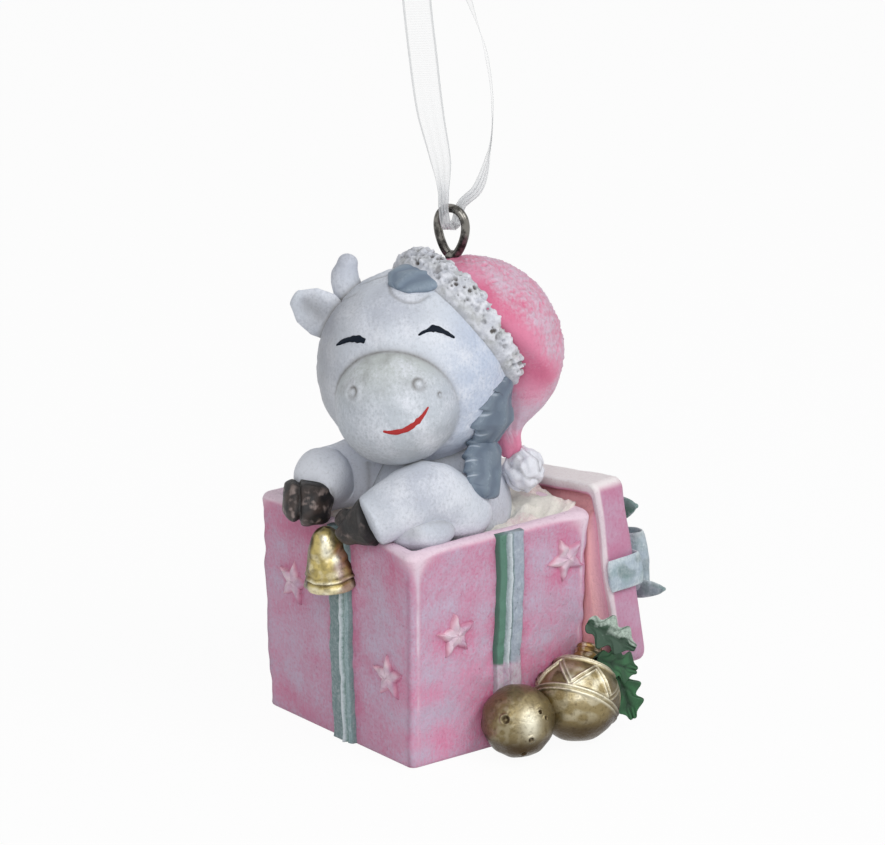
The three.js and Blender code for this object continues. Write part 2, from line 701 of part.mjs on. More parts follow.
function rightArm(grow) {
  const path = [overRim(RIGHT_SHOULDER), overRim(RIGHT_ELBOW), rightWrist];
  return limb(path, [ARM_RADIUS, ARM_RADIUS * 0.96, WRIST_RADIUS], { grow, sides: 14, steps: 6 });
}

function leftArm(grow) {
  const path = [overRim(LEFT_SHOULDER), overRim(LEFT_ELBOW), leftWrist];
  return limb(path, [ARM_RADIUS * 1.06, ARM_RADIUS * 1.04, WRIST_RADIUS], { grow, sides: 14, steps: 6 });
}

// Cloven hoof from the wrist along a direction: an upright groove runs round it over the tip
function hoof(wrist, direction, grow) {
  const along = direction.clone().normalize();
  const from = wrist.clone().addScaledVector(along, 0.9);
  const tip = wrist.clone().addScaledVector(along, HOOF_LENGTH);
  const shape = (more) => limb([from, tip], [HOOF_RADIUS, HOOF_TIP_RADIUS], { grow: more, sides: 14, steps: 2 });
  if (grow) return shape(grow);
  const { x, y, z } = axesAlong(along, vec(0, 0, 1));
  const size = 4 * (HOOF_RADIUS + HOOF_LENGTH);
  const slot = new THREE.BoxGeometry(HOOF_CLEFT, size, size);
  slot.applyMatrix4(placement(x, y, z, tip));
  return cut(shape(0), cut(solid(slot), shape(-HOOF_CLEFT_DEPTH)));
}

const rightHoof = (grow) => hoof(rightWrist, vec(0.12, -0.6, -0.79), grow);
const leftHoof = (grow) => hoof(leftWrist, vec(-0.84, -0.42, -0.36), grow);

// Bell below the hooves: solid, with a flared mouth and a bead above its lip
function bell(grow) {
  const top = RIM + BELL_TOP_RISE;
  const r = BELL_RADIUS + grow;
  const low = -BELL_HEIGHT - grow;
  const lip = -BELL_HEIGHT + BELL_LIP;
  const profile = [
    [0, low], [r - 0.5, low], [r, low + 0.4], [r - 0.05, lip - 0.25], [r - 0.4, lip], [r - 0.2, lip + 0.35],
    [r - 0.35, lip + 0.8], [r - 0.5, -4.2], [r - 0.8, -2.6], [r - 1.3, -1.3], [r - 2.1, -0.4 + grow], [0, grow],
  ];
  const lean = new THREE.Matrix4().makeRotationX(BELL_LEAN * DEGREE);
  const mouthOut = halfDepthAt(RIM - BELL_HEIGHT) + SEAT_GAP + BELL_RADIUS;
  const topOut = mouthOut - Math.sin(BELL_LEAN * DEGREE) * BELL_HEIGHT;
  lean.setPosition(BELL_X, -topOut, top);
  return turned(profile, 22, lean);
}

// Baubles at the right-hand face
const largeCentre = vec(
  halfWidthAt(LARGE_BAUBLE_Z) + LARGE_BAUBLE_RADIUS - LARGE_BAUBLE_SINK, LARGE_BAUBLE_Y, LARGE_BAUBLE_Z,
);
const smallCentre = vec(
  halfWidthAt(SMALL_BAUBLE_RADIUS) + SMALL_BAUBLE_RADIUS - SMALL_BAUBLE_SINK,
  SMALL_BAUBLE_Y, SMALL_BAUBLE_RADIUS + GROUND_CLEARANCE,
);
const baubleAxes = axesAlong(vec(-0.28, 0.47, 0.83), vec(1, 0, 0));
const baublePlace = placement(baubleAxes.x, baubleAxes.y, baubleAxes.z, largeCentre);

// Turned ball with two raised rings round its waist
function largeBauble(grow) {
  const r = LARGE_BAUBLE_RADIUS + grow;
  const bands = [50, -10];
  const profile = Array.from({ length: 19 }, (_, i) => {
    const latitude = -90 + i * 10;
    const raised = bands.includes(latitude) ? 0.2 : 0;
    return [(r + raised) * Math.cos(latitude * DEGREE), (r + raised) * Math.sin(latitude * DEGREE)];
  });
  profile[0][0] = 0;
  profile[18][0] = 0;
  return turned(profile, 20, baublePlace);
}

function baubleCap(grow) {
  const low = LARGE_BAUBLE_RADIUS * 0.9;
  const high = LARGE_BAUBLE_RADIUS + BAUBLE_CAP_LENGTH + grow;
  const r = BAUBLE_CAP_RADIUS + grow;
  const profile = [[0, low], [r, low], [r, high - 0.5], [r - 0.4, high], [0, high]];
  return turned(profile, 16, baublePlace);
}

const smallBauble = (grow) => {
  const r = SMALL_BAUBLE_RADIUS + grow;
  return ball(smallCentre, r, r, r, 20, 12);
};

// Holly leaf: a pointed outline with scalloped sides, from its stalk end along a direction
function leaf(root, direction, normal, grow = 0) {
  const outline = new THREE.Shape();
  const half = LEAF_WIDTH / 2 + grow;
  const long = LEAF_LENGTH + grow;
  const side = [[0.06, 0.3], [0.2, 0.95], [0.34, 0.62], [0.5, 1], [0.64, 0.5], [0.78, 0.66], [0.88, 0.26]];
  outline.moveTo(-grow, 0);
  side.forEach(([along, out]) => outline.lineTo(long * along, half * out));
  outline.lineTo(long, 0);
  side.toReversed().forEach(([along, out]) => outline.lineTo(long * along, -half * out));
  const geometry = new THREE.ExtrudeGeometry(outline, {
    depth: LEAF_THICKNESS + 2 * grow, bevelEnabled: false, curveSegments: 2,
  });
  geometry.translate(0, 0, -LEAF_THICKNESS / 2 - grow);
  const x = direction.clone().normalize();
  const z = normal.clone().addScaledVector(x, -normal.dot(x)).normalize();
  geometry.applyMatrix4(placement(x, z.clone().cross(x), z, root));
  return solid(geometry);
}

const behindBauble = (x, y, z) => largeCentre.clone().add(vec(x, y, z));
const upperLeaf = (grow) => leaf(
  behindBauble(-1.4, 2, 6.8), vec(0.12, 0.9, 0.25), vec(0.8, -0.4, 0.45), grow,
);
const middleLeaf = (grow) => leaf(
  behindBauble(0.9, 2.2, 5.2), vec(0.05, 0.9, -0.42), vec(0.8, -0.45, 0.4), grow,
);
const lowerLeaf = (grow) => leaf(
  behindBauble(-0.2, 5.6, 2.4), vec(0.2, 0.25, -0.95), vec(0.8, -0.5, 0.35), grow,
);

// Wire eye, glued into the hat: local x across the eye, y along its hole, z up

const eyeFoot = (() => {
  const flat = (EYE_X - crownCentre.x) ** 2 + (EYE_Y - crownCentre.y) ** 2;
  return vec(EYE_X, EYE_Y, crownCentre.z + Math.sqrt(CROWN_RADIUS ** 2 - flat) + EYE_RISE);
})();
const holeAxis = vec(Math.sin(EYE_YAW * DEGREE), -Math.cos(EYE_YAW * DEGREE), 0);
const eyeAcross = vec(Math.cos(EYE_YAW * DEGREE), Math.sin(EYE_YAW * DEGREE), 0);
const eyePlace = placement(eyeAcross, holeAxis.clone().negate(), vec(0, 0, 1), eyeFoot);
const EYE_MIDDLE = EYE_HEIGHT * 0.56;

// Drop-shaped ring on a straight shank
function wireEye() {
  const halfWidth = EYE_WIDTH / 2 - WIRE_RADIUS;
  const halfHeight = EYE_HEIGHT / 2 - WIRE_RADIUS;
  const steps = 24;
  const point = (i) => {
    const angle = (2 * Math.PI * i) / steps - Math.PI / 2;
    const narrow = 0.76 + 0.24 * Math.sin(angle);
    return vec(halfWidth * Math.cos(angle) * narrow * 1.12, 0, EYE_HEIGHT / 2 + halfHeight * Math.sin(angle));
  };
  const rings = Array.from({ length: steps }, (_, i) => {
    const tangent = point(i + 1).sub(point(i - 1)).normalize();
    return oval(point(i), vec(0, 1, 0), tangent.clone().cross(vec(0, 1, 0)), WIRE_RADIUS, WIRE_RADIUS, 8);
  });
  const ring = skin(rings, true);
  ring.applyMatrix4(eyePlace);
  const shank = new THREE.CylinderGeometry(SHANK_RADIUS, SHANK_RADIUS, SHANK_LENGTH, 12);
  shank.rotateX(Math.PI / 2);
  shank.translate(0, 0, WIRE_RADIUS * 1.6 - SHANK_LENGTH / 2);
  shank.applyMatrix4(eyePlace);
  return join(solid(ring), solid(shank));
}

function shankHole() {
  const radius = SHANK_RADIUS + SHANK_CLEARANCE;
  const hole = new THREE.CylinderGeometry(radius, radius, SHANK_LENGTH + 4, 14);
  hole.rotateX(Math.PI / 2);
  hole.translate(0, 0, WIRE_RADIUS * 1.6 - SHANK_LENGTH / 2 + 2 - SHANK_CLEARANCE);
  hole.applyMatrix4(eyePlace);
  return solid(hole);
}

// Hanging ribbon: flat bands along a path in the eye's frame, gathered where it passes the eye

const knotHeight = EYE_MIDDLE + RIBBON_LOOP;
const KNOT_SIDE = -4.6;
const ribbonStations = (() => {
  const s = RIBBON_STANDOFF;
  const m = EYE_MIDDLE;
  const frontSide = [
    [KNOT_SIDE, -0.5, 1, 0.35, 0], [-4.4, -1.2, 0.87, 0.9, 0], [-3.9, -1.9, 0.68, 1, 0], [-2.6, -2.5, 0.5, 0.97, 0],
    [-1.5, -2.6, 0.34, 0.9, 0], [-0.2, -2.3, 0.2, 0.72, 0], [0, -2 * s + 0.8, 0.11, 0.4, 0],
  ];
  const backSide = [
    [2.3, 2 * s - 0.3, 0.1, 0.45, -20], [3.7, 2.8, 0.21, 0.75, -60], [4, 3, 0.34, 0.95, -66],
    [3.3, 2.6, 0.49, 1, -62], [0.7, 2, 0.67, 1, -40], [-1.8, 1.3, 0.85, 0.9, -15], [KNOT_SIDE + 0.2, 0.5, 1, 0.35, 0],
  ];
  const strand = ([x, y, rise, share, twist]) => ({
    at: vec(x, y, m + rise * RIBBON_LOOP - (rise === 1 ? KNOT_RADIUS + 2 * SEAT_GAP : 0)),
    half: (RIBBON_WIDTH / 2) * share,
    twist: twist * DEGREE,
  });
  const throughEye = [
    { at: vec(-0.3, -s - 0.25, m + 2.3), half: RIBBON_GATHER / 2, twist: 0 },
    { at: vec(0, -s * 0.75, m + 0.15), half: RIBBON_GATHER / 2, twist: 0 },
    { at: vec(0.05, 0, m - 0.15), half: RIBBON_GATHER / 2, twist: 0 },
    { at: vec(0.1, s * 0.75, m + 0.15), half: RIBBON_GATHER / 2, twist: 0 },
    { at: vec(0.5, s + 0.25, m + 2.3), half: RIBBON_GATHER / 2, twist: 0 },
  ];
  return [...frontSide.map(strand), ...throughEye, ...backSide.map(strand)];
})();

function hangingRibbon() {
  const stations = ribbonStations;
  const curve = new THREE.CatmullRomCurve3(stations.map((s) => s.at), false, 'centripetal');
  const steps = 56;
  const rings = Array.from({ length: steps + 1 }, (_, i) => {
    const t = i / steps;
    const place = t * (stations.length - 1);
    const k = Math.min(Math.floor(place), stations.length - 2);
    const share = place - k;
    const half = THREE.MathUtils.lerp(stations[k].half, stations[k + 1].half, share);
    const twist = THREE.MathUtils.lerp(stations[k].twist, stations[k + 1].twist, share);
    const tangent = curve.getTangent(t);
    const flatAcross = vec(1, 0, 0).addScaledVector(tangent, -tangent.x).normalize();
    const across = flatAcross.applyAxisAngle(tangent, twist);
    const up = tangent.clone().cross(across);
    return oval(curve.getPoint(t), across, up, half, RIBBON_THICKNESS / 2, 6);
  });
  const geometry = skin(rings);
  geometry.applyMatrix4(eyePlace);
  return solid(geometry);
}

// Knot with the ribbon's two short ends
function ribbonKnot() {
  const middle = vec(KNOT_SIDE, 0, knotHeight);
  const knot = new THREE.SphereGeometry(1, 16, 10);
  knot.scale(KNOT_RADIUS * 1.15, KNOT_RADIUS * 0.9, KNOT_RADIUS);
  knot.translate(middle.x, middle.y, middle.z);
  const end = (lean) => {
    const tip = middle.clone().add(vec(lean * KNOT_TAIL * 0.5, lean * 0.8, KNOT_TAIL));
    const rings = Array.from({ length: 5 }, (_, i) => {
      const t = i / 4;
      const half = (RIBBON_WIDTH / 2) * (0.4 + 0.6 * t);
      const centre = middle.clone().lerp(tip, t);
      return oval(centre, vec(1, 0, -lean * 0.5).normalize(), vec(0, 1, 0), half, RIBBON_THICKNESS / 2, 8);
    });
    return skin(rings);
  };
  const pieces = [knot, end(1), end(-1)].map((geometry) => solid(geometry.applyMatrix4(eyePlace)));
  return join(...pieces);
}

// Assembly: each piece is cut by the neighbours it sits against

const g = SEAT_GAP;
const block = boxBlock(g);

const tissueSolid = (() => {
  const level0 = RIM - TISSUE_DROP;
  const floor = RIM - MOUTH_DEPTH + g;
  const inner = MOUTH_INSET + g;
  const sheet = new THREE.BoxGeometry(BOX_WIDTH - 2 * inner, BOX_DEPTH - 2 * inner, level0 - floor, 8, 8, 1);
  sheet.translate(0, 0, (level0 + floor) / 2);
  const at = sheet.attributes.position;
  for (let i = 0; i < at.count; i += 1) {
    if (at.getZ(i) > level0 - 0.01) {
      const wave = Math.sin(0.9 * at.getX(i) + 0.5 * at.getY(i)) + Math.sin(0.7 * at.getY(i) - 0.6 * at.getX(i));
      at.setZ(i, level0 + TISSUE_WAVE * wave);
    }
  }
  const bounds = mouth(g, RIM + BOX_HEIGHT);
  return cut(solid(sheet).intersect(solid(bounds)), body(g));
})();

const lidBody = main(cut(join(lidSlab(0), lidPlug()), block));

const COLOURS = {
  pink: [0xd98cb3, 0.6, 0],
  tissue: [0xe4e8e2, 0.8, 0],
  ribbonGreen: [0x6f9a94, 0.6, 0],
  white: [0xe3e6ea, 0.6, 0],
  grey: [0x6f7d90, 0.65, 0],
  hoof: [0x362c2a, 0.6, 0],
  fur: [0xefece6, 0.8, 0],
  gold: [0xb09045, 0.4, 0.5],
  leaf: [0x2f5a3c, 0.6, 0],
  frosted: [0xb9c8bd, 0.7, 0],
  wire: [0x8a8782, 0.35, 1],
  organza: [0xf2f2f2, 0.5, 0],
};

const PARTS = [
  ['gift_box', 'pink', () => cut(boxBlock(0), solid(mouth(0, RIM + BOX_HEIGHT)))],
  ['tissue', 'tissue', () => tissueSolid],
  ['front_band', 'ribbonGreen', () => frontBand(0)],
  ['right_band', 'ribbonGreen', () => rightBand(0)],
  ['left_band', 'ribbonGreen', () => faceBand('left', LEFT_BAND_Y)],
  ['front_star_left', 'pink', () => star('front', FRONT_STAR_LEFT)],
  ['front_star_right', 'pink', () => star('front', FRONT_STAR_RIGHT)],
  ['right_star_lower', 'pink', () => star('right', RIGHT_STAR_LOWER)],
  ['right_star_upper', 'pink', () => star('right', RIGHT_STAR_UPPER)],
  ['left_star_upper', 'pink', () => star('left', LEFT_STAR_UPPER)],
  ['left_star_lower', 'pink', () => star('left', LEFT_STAR_LOWER)],
  ['lid', 'pink', () => lidBody],
  ['lid_ribbon', 'ribbonGreen', () => main(cut(lidRibbon(0), block))],
  ['bow_knot', 'ribbonGreen', () => main(cut(bowKnot(0), lidRibbon(g)))],
  ['bow_loop_right', 'ribbonGreen', () => main(cut(bowLoop(1), bowKnot(g), lidRibbon(g)))],
  ['bow_loop_left', 'ribbonGreen', () => main(cut(bowLoop(-1), bowKnot(g), lidRibbon(g)))],
  ['bow_tail_upper', 'ribbonGreen', () => main(cut(
    bowTail(BOW_TAIL_UPPER_TIP), bowKnot(g), bowLoop(1, g), lidRibbon(g)))],
  ['bow_tail_lower', 'ribbonGreen', () => main(cut(
    bowTail(BOW_TAIL_LOWER_TIP), bowKnot(g), bowLoop(1, g), lidRibbon(g)))],
  ['body', 'white', () => main(cut(body(0), head(g)))],
  ['head', 'white', () => main(cut(head(0), shankHole()))],
  ['muzzle', 'white', () => main(cut(muzzle(0), head(g), body(g), nostril(1), nostril(-1)))],
  ['ear', 'white', () => main(cut(ear(0), head(g)))],
  ['horn', 'white', () => main(cut(horn(0), head(g), ear(g)))],
  ['forelock', 'grey', () => main(cut(forelock(0), head(g), brim(g)))],
  ['mane_upper', 'grey', () => main(cut(maneUpper(0), head(g), brim(g), crown(g), body(g)))],
  ['mane_lower', 'grey', () => main(cut(maneLower(0), head(g), body(g), maneUpper(g), leftArm(g), crown(g), block))],
  ['right_arm', 'white', () => main(cut(rightArm(0), body(g), head(g), muzzle(g), block))],
  ['left_arm', 'white', () => main(cut(leftArm(0), body(g), head(g), muzzle(g), block))],
  ['right_hoof', 'hoof', () => main(cut(rightHoof(0), rightArm(g), block, frontBand(g)))],
  ['left_hoof', 'hoof', () => main(cut(leftHoof(0), leftArm(g), rightArm(g), rightHoof(g), block, frontBand(g)))],
  ['hat_brim', 'fur', () => main(cut(brim(0), head(g), shankHole(), horn(g)))],
  ['hat_crown', 'pink', () => main(cut(crown(0), head(g), brim(g), body(g), shankHole()))],
  ['hat_bobble', 'fur', () => main(cut(bobble(0), crown(g), body(g), maneUpper(g), maneLower(g)))],
  ['bell', 'gold', () => main(cut(bell(0), block, frontBand(g), rightHoof(g), leftHoof(g)))],
  ['large_bauble', 'gold', () => main(cut(largeBauble(0), block, smallBauble(g), rightBand(g)))],
  ['bauble_cap', 'gold', () => main(cut(baubleCap(0), largeBauble(g), block))],
  ['small_bauble', 'gold', () => main(cut(smallBauble(0), block, rightBand(g)))],
  ['leaf_upper', 'frosted', () => main(cut(
    upperLeaf(0), block, lidSlab(g), lidRibbon(g), baubleCap(g), largeBauble(g)))],
  ['leaf_middle', 'leaf', () => main(cut(
    middleLeaf(0), block, lidSlab(g), lidRibbon(g), baubleCap(g), largeBauble(g), upperLeaf(g)))],
  ['leaf_lower', 'leaf', () => main(cut(
    lowerLeaf(0), block, lidSlab(g), lidRibbon(g), largeBauble(g), middleLeaf(g)))],
  ['wire_eye', 'wire', () => wireEye()],
  ['hanging_ribbon', 'organza', () => hangingRibbon()],
  ['ribbon_knot', 'organza', () => ribbonKnot()],
];

const part = new THREE.Group();
part.name = 'bull_ornament';
PARTS.forEach(([name, colour, make]) => {
  const shell = make().getMesh();
  const geometry = new THREE.BufferGeometry();
  const step = shell.numProp;
  const positions = Array.from({ length: shell.vertProperties.length / step }, (_, i) => (
    Array.from(shell.vertProperties.slice(i * step, i * step + 3))
  )).flat();
  geometry.setAttribute('position', new THREE.Float32BufferAttribute(positions, 3));
  geometry.setIndex(Array.from(shell.triVerts));
  const [color, roughness, metalness] = COLOURS[colour];
  const mesh = new THREE.Mesh(geometry, new THREE.MeshStandardMaterial({ color, roughness, metalness }));
  mesh.name = name;
  part.add(mesh);
});

export default part;
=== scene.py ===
"""Painted resin ornament: a bull in a bobble hat looks out of an open gift box.

The functions work in millimetres and in the object's own frame: +Z up, the box's front toward -Y.
Meshes are stored in metres.
"""

import bpy
import numpy as np
from bpy.props import FloatProperty, FloatVectorProperty, PointerProperty
from mathutils import Matrix
from mathutils.kdtree import KDTree


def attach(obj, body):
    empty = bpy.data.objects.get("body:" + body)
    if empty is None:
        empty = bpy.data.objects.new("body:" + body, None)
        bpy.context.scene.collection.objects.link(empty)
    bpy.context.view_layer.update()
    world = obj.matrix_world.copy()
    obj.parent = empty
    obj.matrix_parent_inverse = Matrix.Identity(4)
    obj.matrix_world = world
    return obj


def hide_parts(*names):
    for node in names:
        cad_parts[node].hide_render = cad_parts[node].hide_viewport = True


bl_info = {
    "name": "Bull ornament",
    "version": (1, 0, 0),
    "blender": (4, 5, 0),
    "location": "View3D > Sidebar > Ornament",
    "description": "Builds a hanging ornament: a bull in a gift box with a bell, baubles and a ribbon loop",
    "category": "Add Mesh",
}

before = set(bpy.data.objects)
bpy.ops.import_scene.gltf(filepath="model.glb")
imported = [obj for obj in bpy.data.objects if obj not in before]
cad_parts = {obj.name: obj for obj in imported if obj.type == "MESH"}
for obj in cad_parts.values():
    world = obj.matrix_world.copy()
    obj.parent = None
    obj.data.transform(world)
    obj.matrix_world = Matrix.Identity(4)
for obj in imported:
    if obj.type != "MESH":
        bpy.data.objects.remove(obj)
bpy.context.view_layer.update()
MM = 0.001


# Settings

def number(name, default, description, **limits):
    """Plain setting."""
    return FloatProperty(name=name, default=default, description=description, **limits)


def length(name, default, description):
    """Length setting, given in millimetres and kept in metres."""
    return number(name, default * MM, description, unit="LENGTH", precision=5)


def angle(name, default, description):
    """Angle setting, given in degrees and kept in radians."""
    return number(name, np.radians(default), description, subtype="ANGLE")


def colour(name, default, description):
    """Colour setting in display values."""
    return FloatVectorProperty(
        name=name, default=default, description=description, subtype="COLOR_GAMMA", size=3, min=0, max=1
    )


class BoxSettings(bpy.types.PropertyGroup):
    """Gift box, lid and painted ribbon."""

    width: length("Width", 30.6, "Width of the box at its rim")
    depth: length("Depth", 28, "Depth of the box at its rim")
    height: length("Height", 28, "Height of the rim above the base")
    taper: length("Taper", 0.8, "How far each side leans in at the base")
    edge: length("Edge", 1.2, "Radius of the upright edges")
    wall: length("Wall", 2.2, "Thickness of the walls at the mouth")
    band: length("Band", 4, "Width of the relief ribbon")
    star: length("Star", 3.0, "Radius of the relief stars")
    pink: colour("Pink", (0.89, 0.61, 0.74), "Base coat of the box")
    hot: colour("Hot pink", (0.90, 0.47, 0.64), "Airbrushed pink round the relief")
    lilac: colour("Lilac", (0.80, 0.73, 0.82), "Dry-brushed top coat")
    pale: colour("Pale edge", (0.97, 0.89, 0.94), "Rubbed edges and rim")
    teal: colour("Teal", (0.56, 0.66, 0.67), "Relief ribbon")
    green: colour("Green", (0.31, 0.50, 0.41), "Grooves of the relief ribbon")
    frost: colour("Frost", (0.84, 0.88, 0.90), "Rubbed ridges of the relief ribbon")
    tissue: colour("Tissue", (0.90, 0.88, 0.85), "Tissue in the mouth")


class BullSettings(bpy.types.PropertyGroup):
    """Bull: head, body, arms and hooves."""

    head: length("Head", 12, "Radius of the head")
    muzzle: length("Muzzle", 7.5, "Half width of the muzzle")
    yaw: angle("Yaw", 36, "Turn of the face")
    roll: angle("Roll", 12, "Tilt of the face")
    hoof: length("Hoof", 3.2, "Radius of a hoof")
    white: colour("White", (0.865, 0.89, 0.93), "Body paint")
    bright: colour("Bright", (0.935, 0.95, 0.985), "Dry-brushed high places")
    # Dark colour of the crease mask: washes in the creases, and painted shade where parts meet.
    wash: colour("Wash_and_shade", (0.48, 0.47, 0.46), "Grey-brown wash in the creases")
    grey: colour("Grey", (0.50, 0.56, 0.62), "Mane and forelock")
    hoof_paint: colour("Hoof paint", (0.10, 0.085, 0.09), "Hooves")
    bronze: colour("Bronze", (0.60, 0.54, 0.52), "Dry brush on the hooves")
    lash: colour("Lash", (0.04, 0.085, 0.14), "Closed eyes")
    lip: colour("Lip", (0.71, 0.23, 0.23), "Painted smile")


class HatSettings(bpy.types.PropertyGroup):
    """Bobble hat."""

    yaw: angle("Yaw", 8.4, "Heading of the hat's axis")
    rise: angle("Rise", 35, "Rise of the hat's axis")
    brim: length("Brim", 9.4, "Radius of the fur roll")
    roll_width: length("Roll width", 4.8, "Width of the fur roll along the hat's axis")
    roll_height: length("Roll height", 3.2, "Thickness of the fur roll")
    crown: length("Crown", 10.9, "Radius of the crown")
    bobble: length("Bobble", 2.5, "Radius of the bobble")
    pink: colour("Pink", (0.91, 0.58, 0.70), "Crown paint")
    rubbed: colour("Rubbed", (0.87, 0.77, 0.84), "Dry brush on the crown")
    fur: colour("Fur", (0.81, 0.825, 0.865), "Fur roll and bobble")
    # Dark colour in the fur's pits, also used for painted shade where the roll meets the head.
    pit: colour("Pit", (0.33, 0.31, 0.30), "Wash in the fur's pits")


class GiltSettings(bpy.types.PropertyGroup):
    """Bell, baubles and holly."""

    bell: length("Bell", 3.4, "Radius of the bell's mouth")
    bell_height: length("Bell height", 7.9, "Height of the bell")
    large: length("Large bauble", 5.3, "Radius of the large bauble")
    small: length("Small bauble", 4.5, "Radius of the small bauble")
    gold: colour("Gold", (0.76, 0.69, 0.44), "Bell")
    # Pale gold of rubbed relief and of painted highlights.
    polish_and_highlight: colour("Polished", (0.97, 0.95, 0.86), "Rubbed gold")
    brass: colour("Brass", (0.57, 0.51, 0.36), "Baubles")
    # Dark brown gold in the recesses, and painted shade and dark reflections on the lower and outer sides of
    # the baubles and the bell.
    patina_and_shade: colour("Patina", (0.25, 0.19, 0.11), "Dark wash in the recesses")
    leaf: colour("Leaf", (0.13, 0.30, 0.18), "Holly leaves")
    frosted: colour("Frosted", (0.13, 0.26, 0.18), "Frosted leaf")


class HangerSettings(bpy.types.PropertyGroup):
    """Wire eye and hanging ribbon."""

    wire: length("Wire", 0.55, "Radius of the wire")
    eye_width: length("Eye width", 5.3, "Width of the eye")
    eye_height: length("Eye height", 6.3, "Height of the eye")
    ribbon: length("Ribbon", 4.2, "Width of the ribbon")
    loop: length("Loop", 44, "Height of the ribbon's loop above the eye")
    nickel: colour("Nickel", (0.50, 0.49, 0.47), "Wire")
    organza: colour("Organza", (0.94, 0.95, 0.96), "Ribbon")


class StageSettings(bpy.types.PropertyGroup):
    """Floor, light and camera."""

    floor: colour("Floor", (0.97, 0.97, 0.97), "Floor")
    key: number("Key", 0.95, "Power of the key light in watts", min=0)
    fill: number("Fill", 0.72, "Power of the fill light in watts", min=0)
    sky: number("Sky", 0.34, "Strength of the surrounding light", min=0)


SETTINGS = {
    "ornament_box": BoxSettings,
    "ornament_bull": BullSettings,
    "ornament_hat": HatSettings,
    "ornament_gilt": GiltSettings,
    "ornament_hanger": HangerSettings,
    "ornament_stage": StageSettings,
}


# Arrays

def norm(v):
    """Lengths of vectors."""
    return np.linalg.norm(v, axis=-1)


def unit(v):
    """Vectors of length one."""
    v = np.asarray(v, float)
    return v / np.linalg.norm(v, axis=-1, keepdims=True)


def lerp(a, b, share):
    return a + (b - a) * share


def ease(low, high, x):
    """Smooth step from 0 at low to 1 at high."""
    t = np.clip((x - low) / (high - low), 0, 1)
    return t * t * (3 - 2 * t)


def bell_curve(x, width):
    """Gaussian bump of height one."""
    return np.exp(-((x / width) ** 2))


def linear(display):
    """Scene values of a colour that is given in display values."""
    c = np.asarray(display, float)
    return np.where(c <= 0.04045, c / 12.92, ((c + 0.055) / 1.055) ** 2.4)


def blend(first, second, share):
    """Mix of two colours over an array of shares."""
    return lerp(np.asarray(first), np.asarray(second), np.asarray(share)[..., None])


def coat(tint, display, share):
    """Tint under a share of a colour that is given in display values."""
    return blend(tint, linear(display), share)


def lumps(p, size, seed):
    """Soft lumps of about that size, mostly between -1 and 1: a sum of sine waves in fixed directions."""
    rng = np.random.default_rng(seed)
    waves = unit(rng.normal(size=(12, 3))) * rng.uniform(0.6, 1.5, (12, 1)) * (2 * np.pi / size)
    return np.sin(p @ waves.T + rng.uniform(0, 2 * np.pi, 12)).sum(-1) / 3.2


def patchy(p, size, seed, middle, swing, top=1):
    """Uneven mask: lumps about a middle value, kept between 0 and the top."""
    return np.clip(middle + swing * lumps(p, size, seed), 0, top)


def dimples(p, centres, radii):
    """Depth in the nearest dimple: 1 in its middle and 0 outside it."""
    tree = KDTree(len(centres))
    for index, centre in enumerate(centres):
        tree.insert(centre, index)
    tree.balance()
    found = [tree.find(place) for place in p.reshape(-1, 3)]
    away = np.array([distance for _, _, distance in found]) / radii[[index for _, index, _ in found]]
    return np.clip(1 - away, 0, 1).reshape(p.shape[:-1])


def line_gap(p, line):
    """Distance to the nearest of a row of points."""
    gap = np.full(p.shape[:-1], np.inf)
    for place in line:
        gap = np.minimum(gap, norm(p - place))
    return gap


def spline(points, count):
    """Centripetal Catmull-Rom curve through the points: the same number of samples in each span."""
    p = np.asarray(points, float)
    p = np.vstack([2 * p[0] - p[1], p, 2 * p[-1] - p[-2]])
    knots = np.concatenate([[0], np.cumsum(np.linalg.norm(np.diff(p, axis=0), axis=1) ** 0.5)])
    place = np.linspace(0, len(p) - 3, count)
    k = np.minimum(place.astype(int), len(p) - 4)
    t = lerp(knots[k + 1], knots[k + 2], place - k)[:, None]

    def between(a, b, low, high):
        low, high = knots[low][:, None], knots[high][:, None]
        return (a * (high - t) + b * (t - low)) / (high - low)

    first = between(p[k], p[k + 1], k, k + 1)
    second = between(p[k + 1], p[k + 2], k + 1, k + 2)
    third = between(p[k + 2], p[k + 3], k + 2, k + 3)
    return between(between(first, second, k, k + 2), between(second, third, k + 1, k + 3), k + 1, k + 2)


def along(values, count):
    """Values at equal steps of a path, spread over that many samples."""
    values = np.asarray(values, float)
    return np.interp(np.linspace(0, len(values) - 1, count), np.arange(len(values)), values)


def axes_along(direction, hint):
    """Right-handed axes x, y, z with z along the direction and y near the hint."""
    z = unit(direction)
    x = unit(np.cross(np.broadcast_to(hint, z.shape), z))
    return x, np.cross(z, x), z


def tangents(path):
    return unit(np.gradient(path, axis=0))


def circle(count):
    """Angles of equal steps round a circle."""
    return np.linspace(0, 2 * np.pi, count, endpoint=False)


def even(points, value):
    """Field with one value or colour all over a grid."""
    value = np.asarray(value, float)
    return np.broadcast_to(value, points.shape[:2] + value.shape)


def spread(values, points):
    """Field over a whole grid from values that may change along its rows or its columns only."""
    return np.broadcast_to(values, points.shape[:2])


# Distances to simple forms, for creases and for skins over joined forms

def ball_gap(p, centre, radius):
    return norm(p - centre) - radius


def egg_gap(p, centre, axes, radii):
    """Distance to an ellipsoid, close near its surface."""
    q = (p - centre) @ np.asarray(axes).T
    near = norm(q / radii)
    slope = norm(q / np.square(radii))
    return near * (near - 1) / np.maximum(slope, 1e-9)


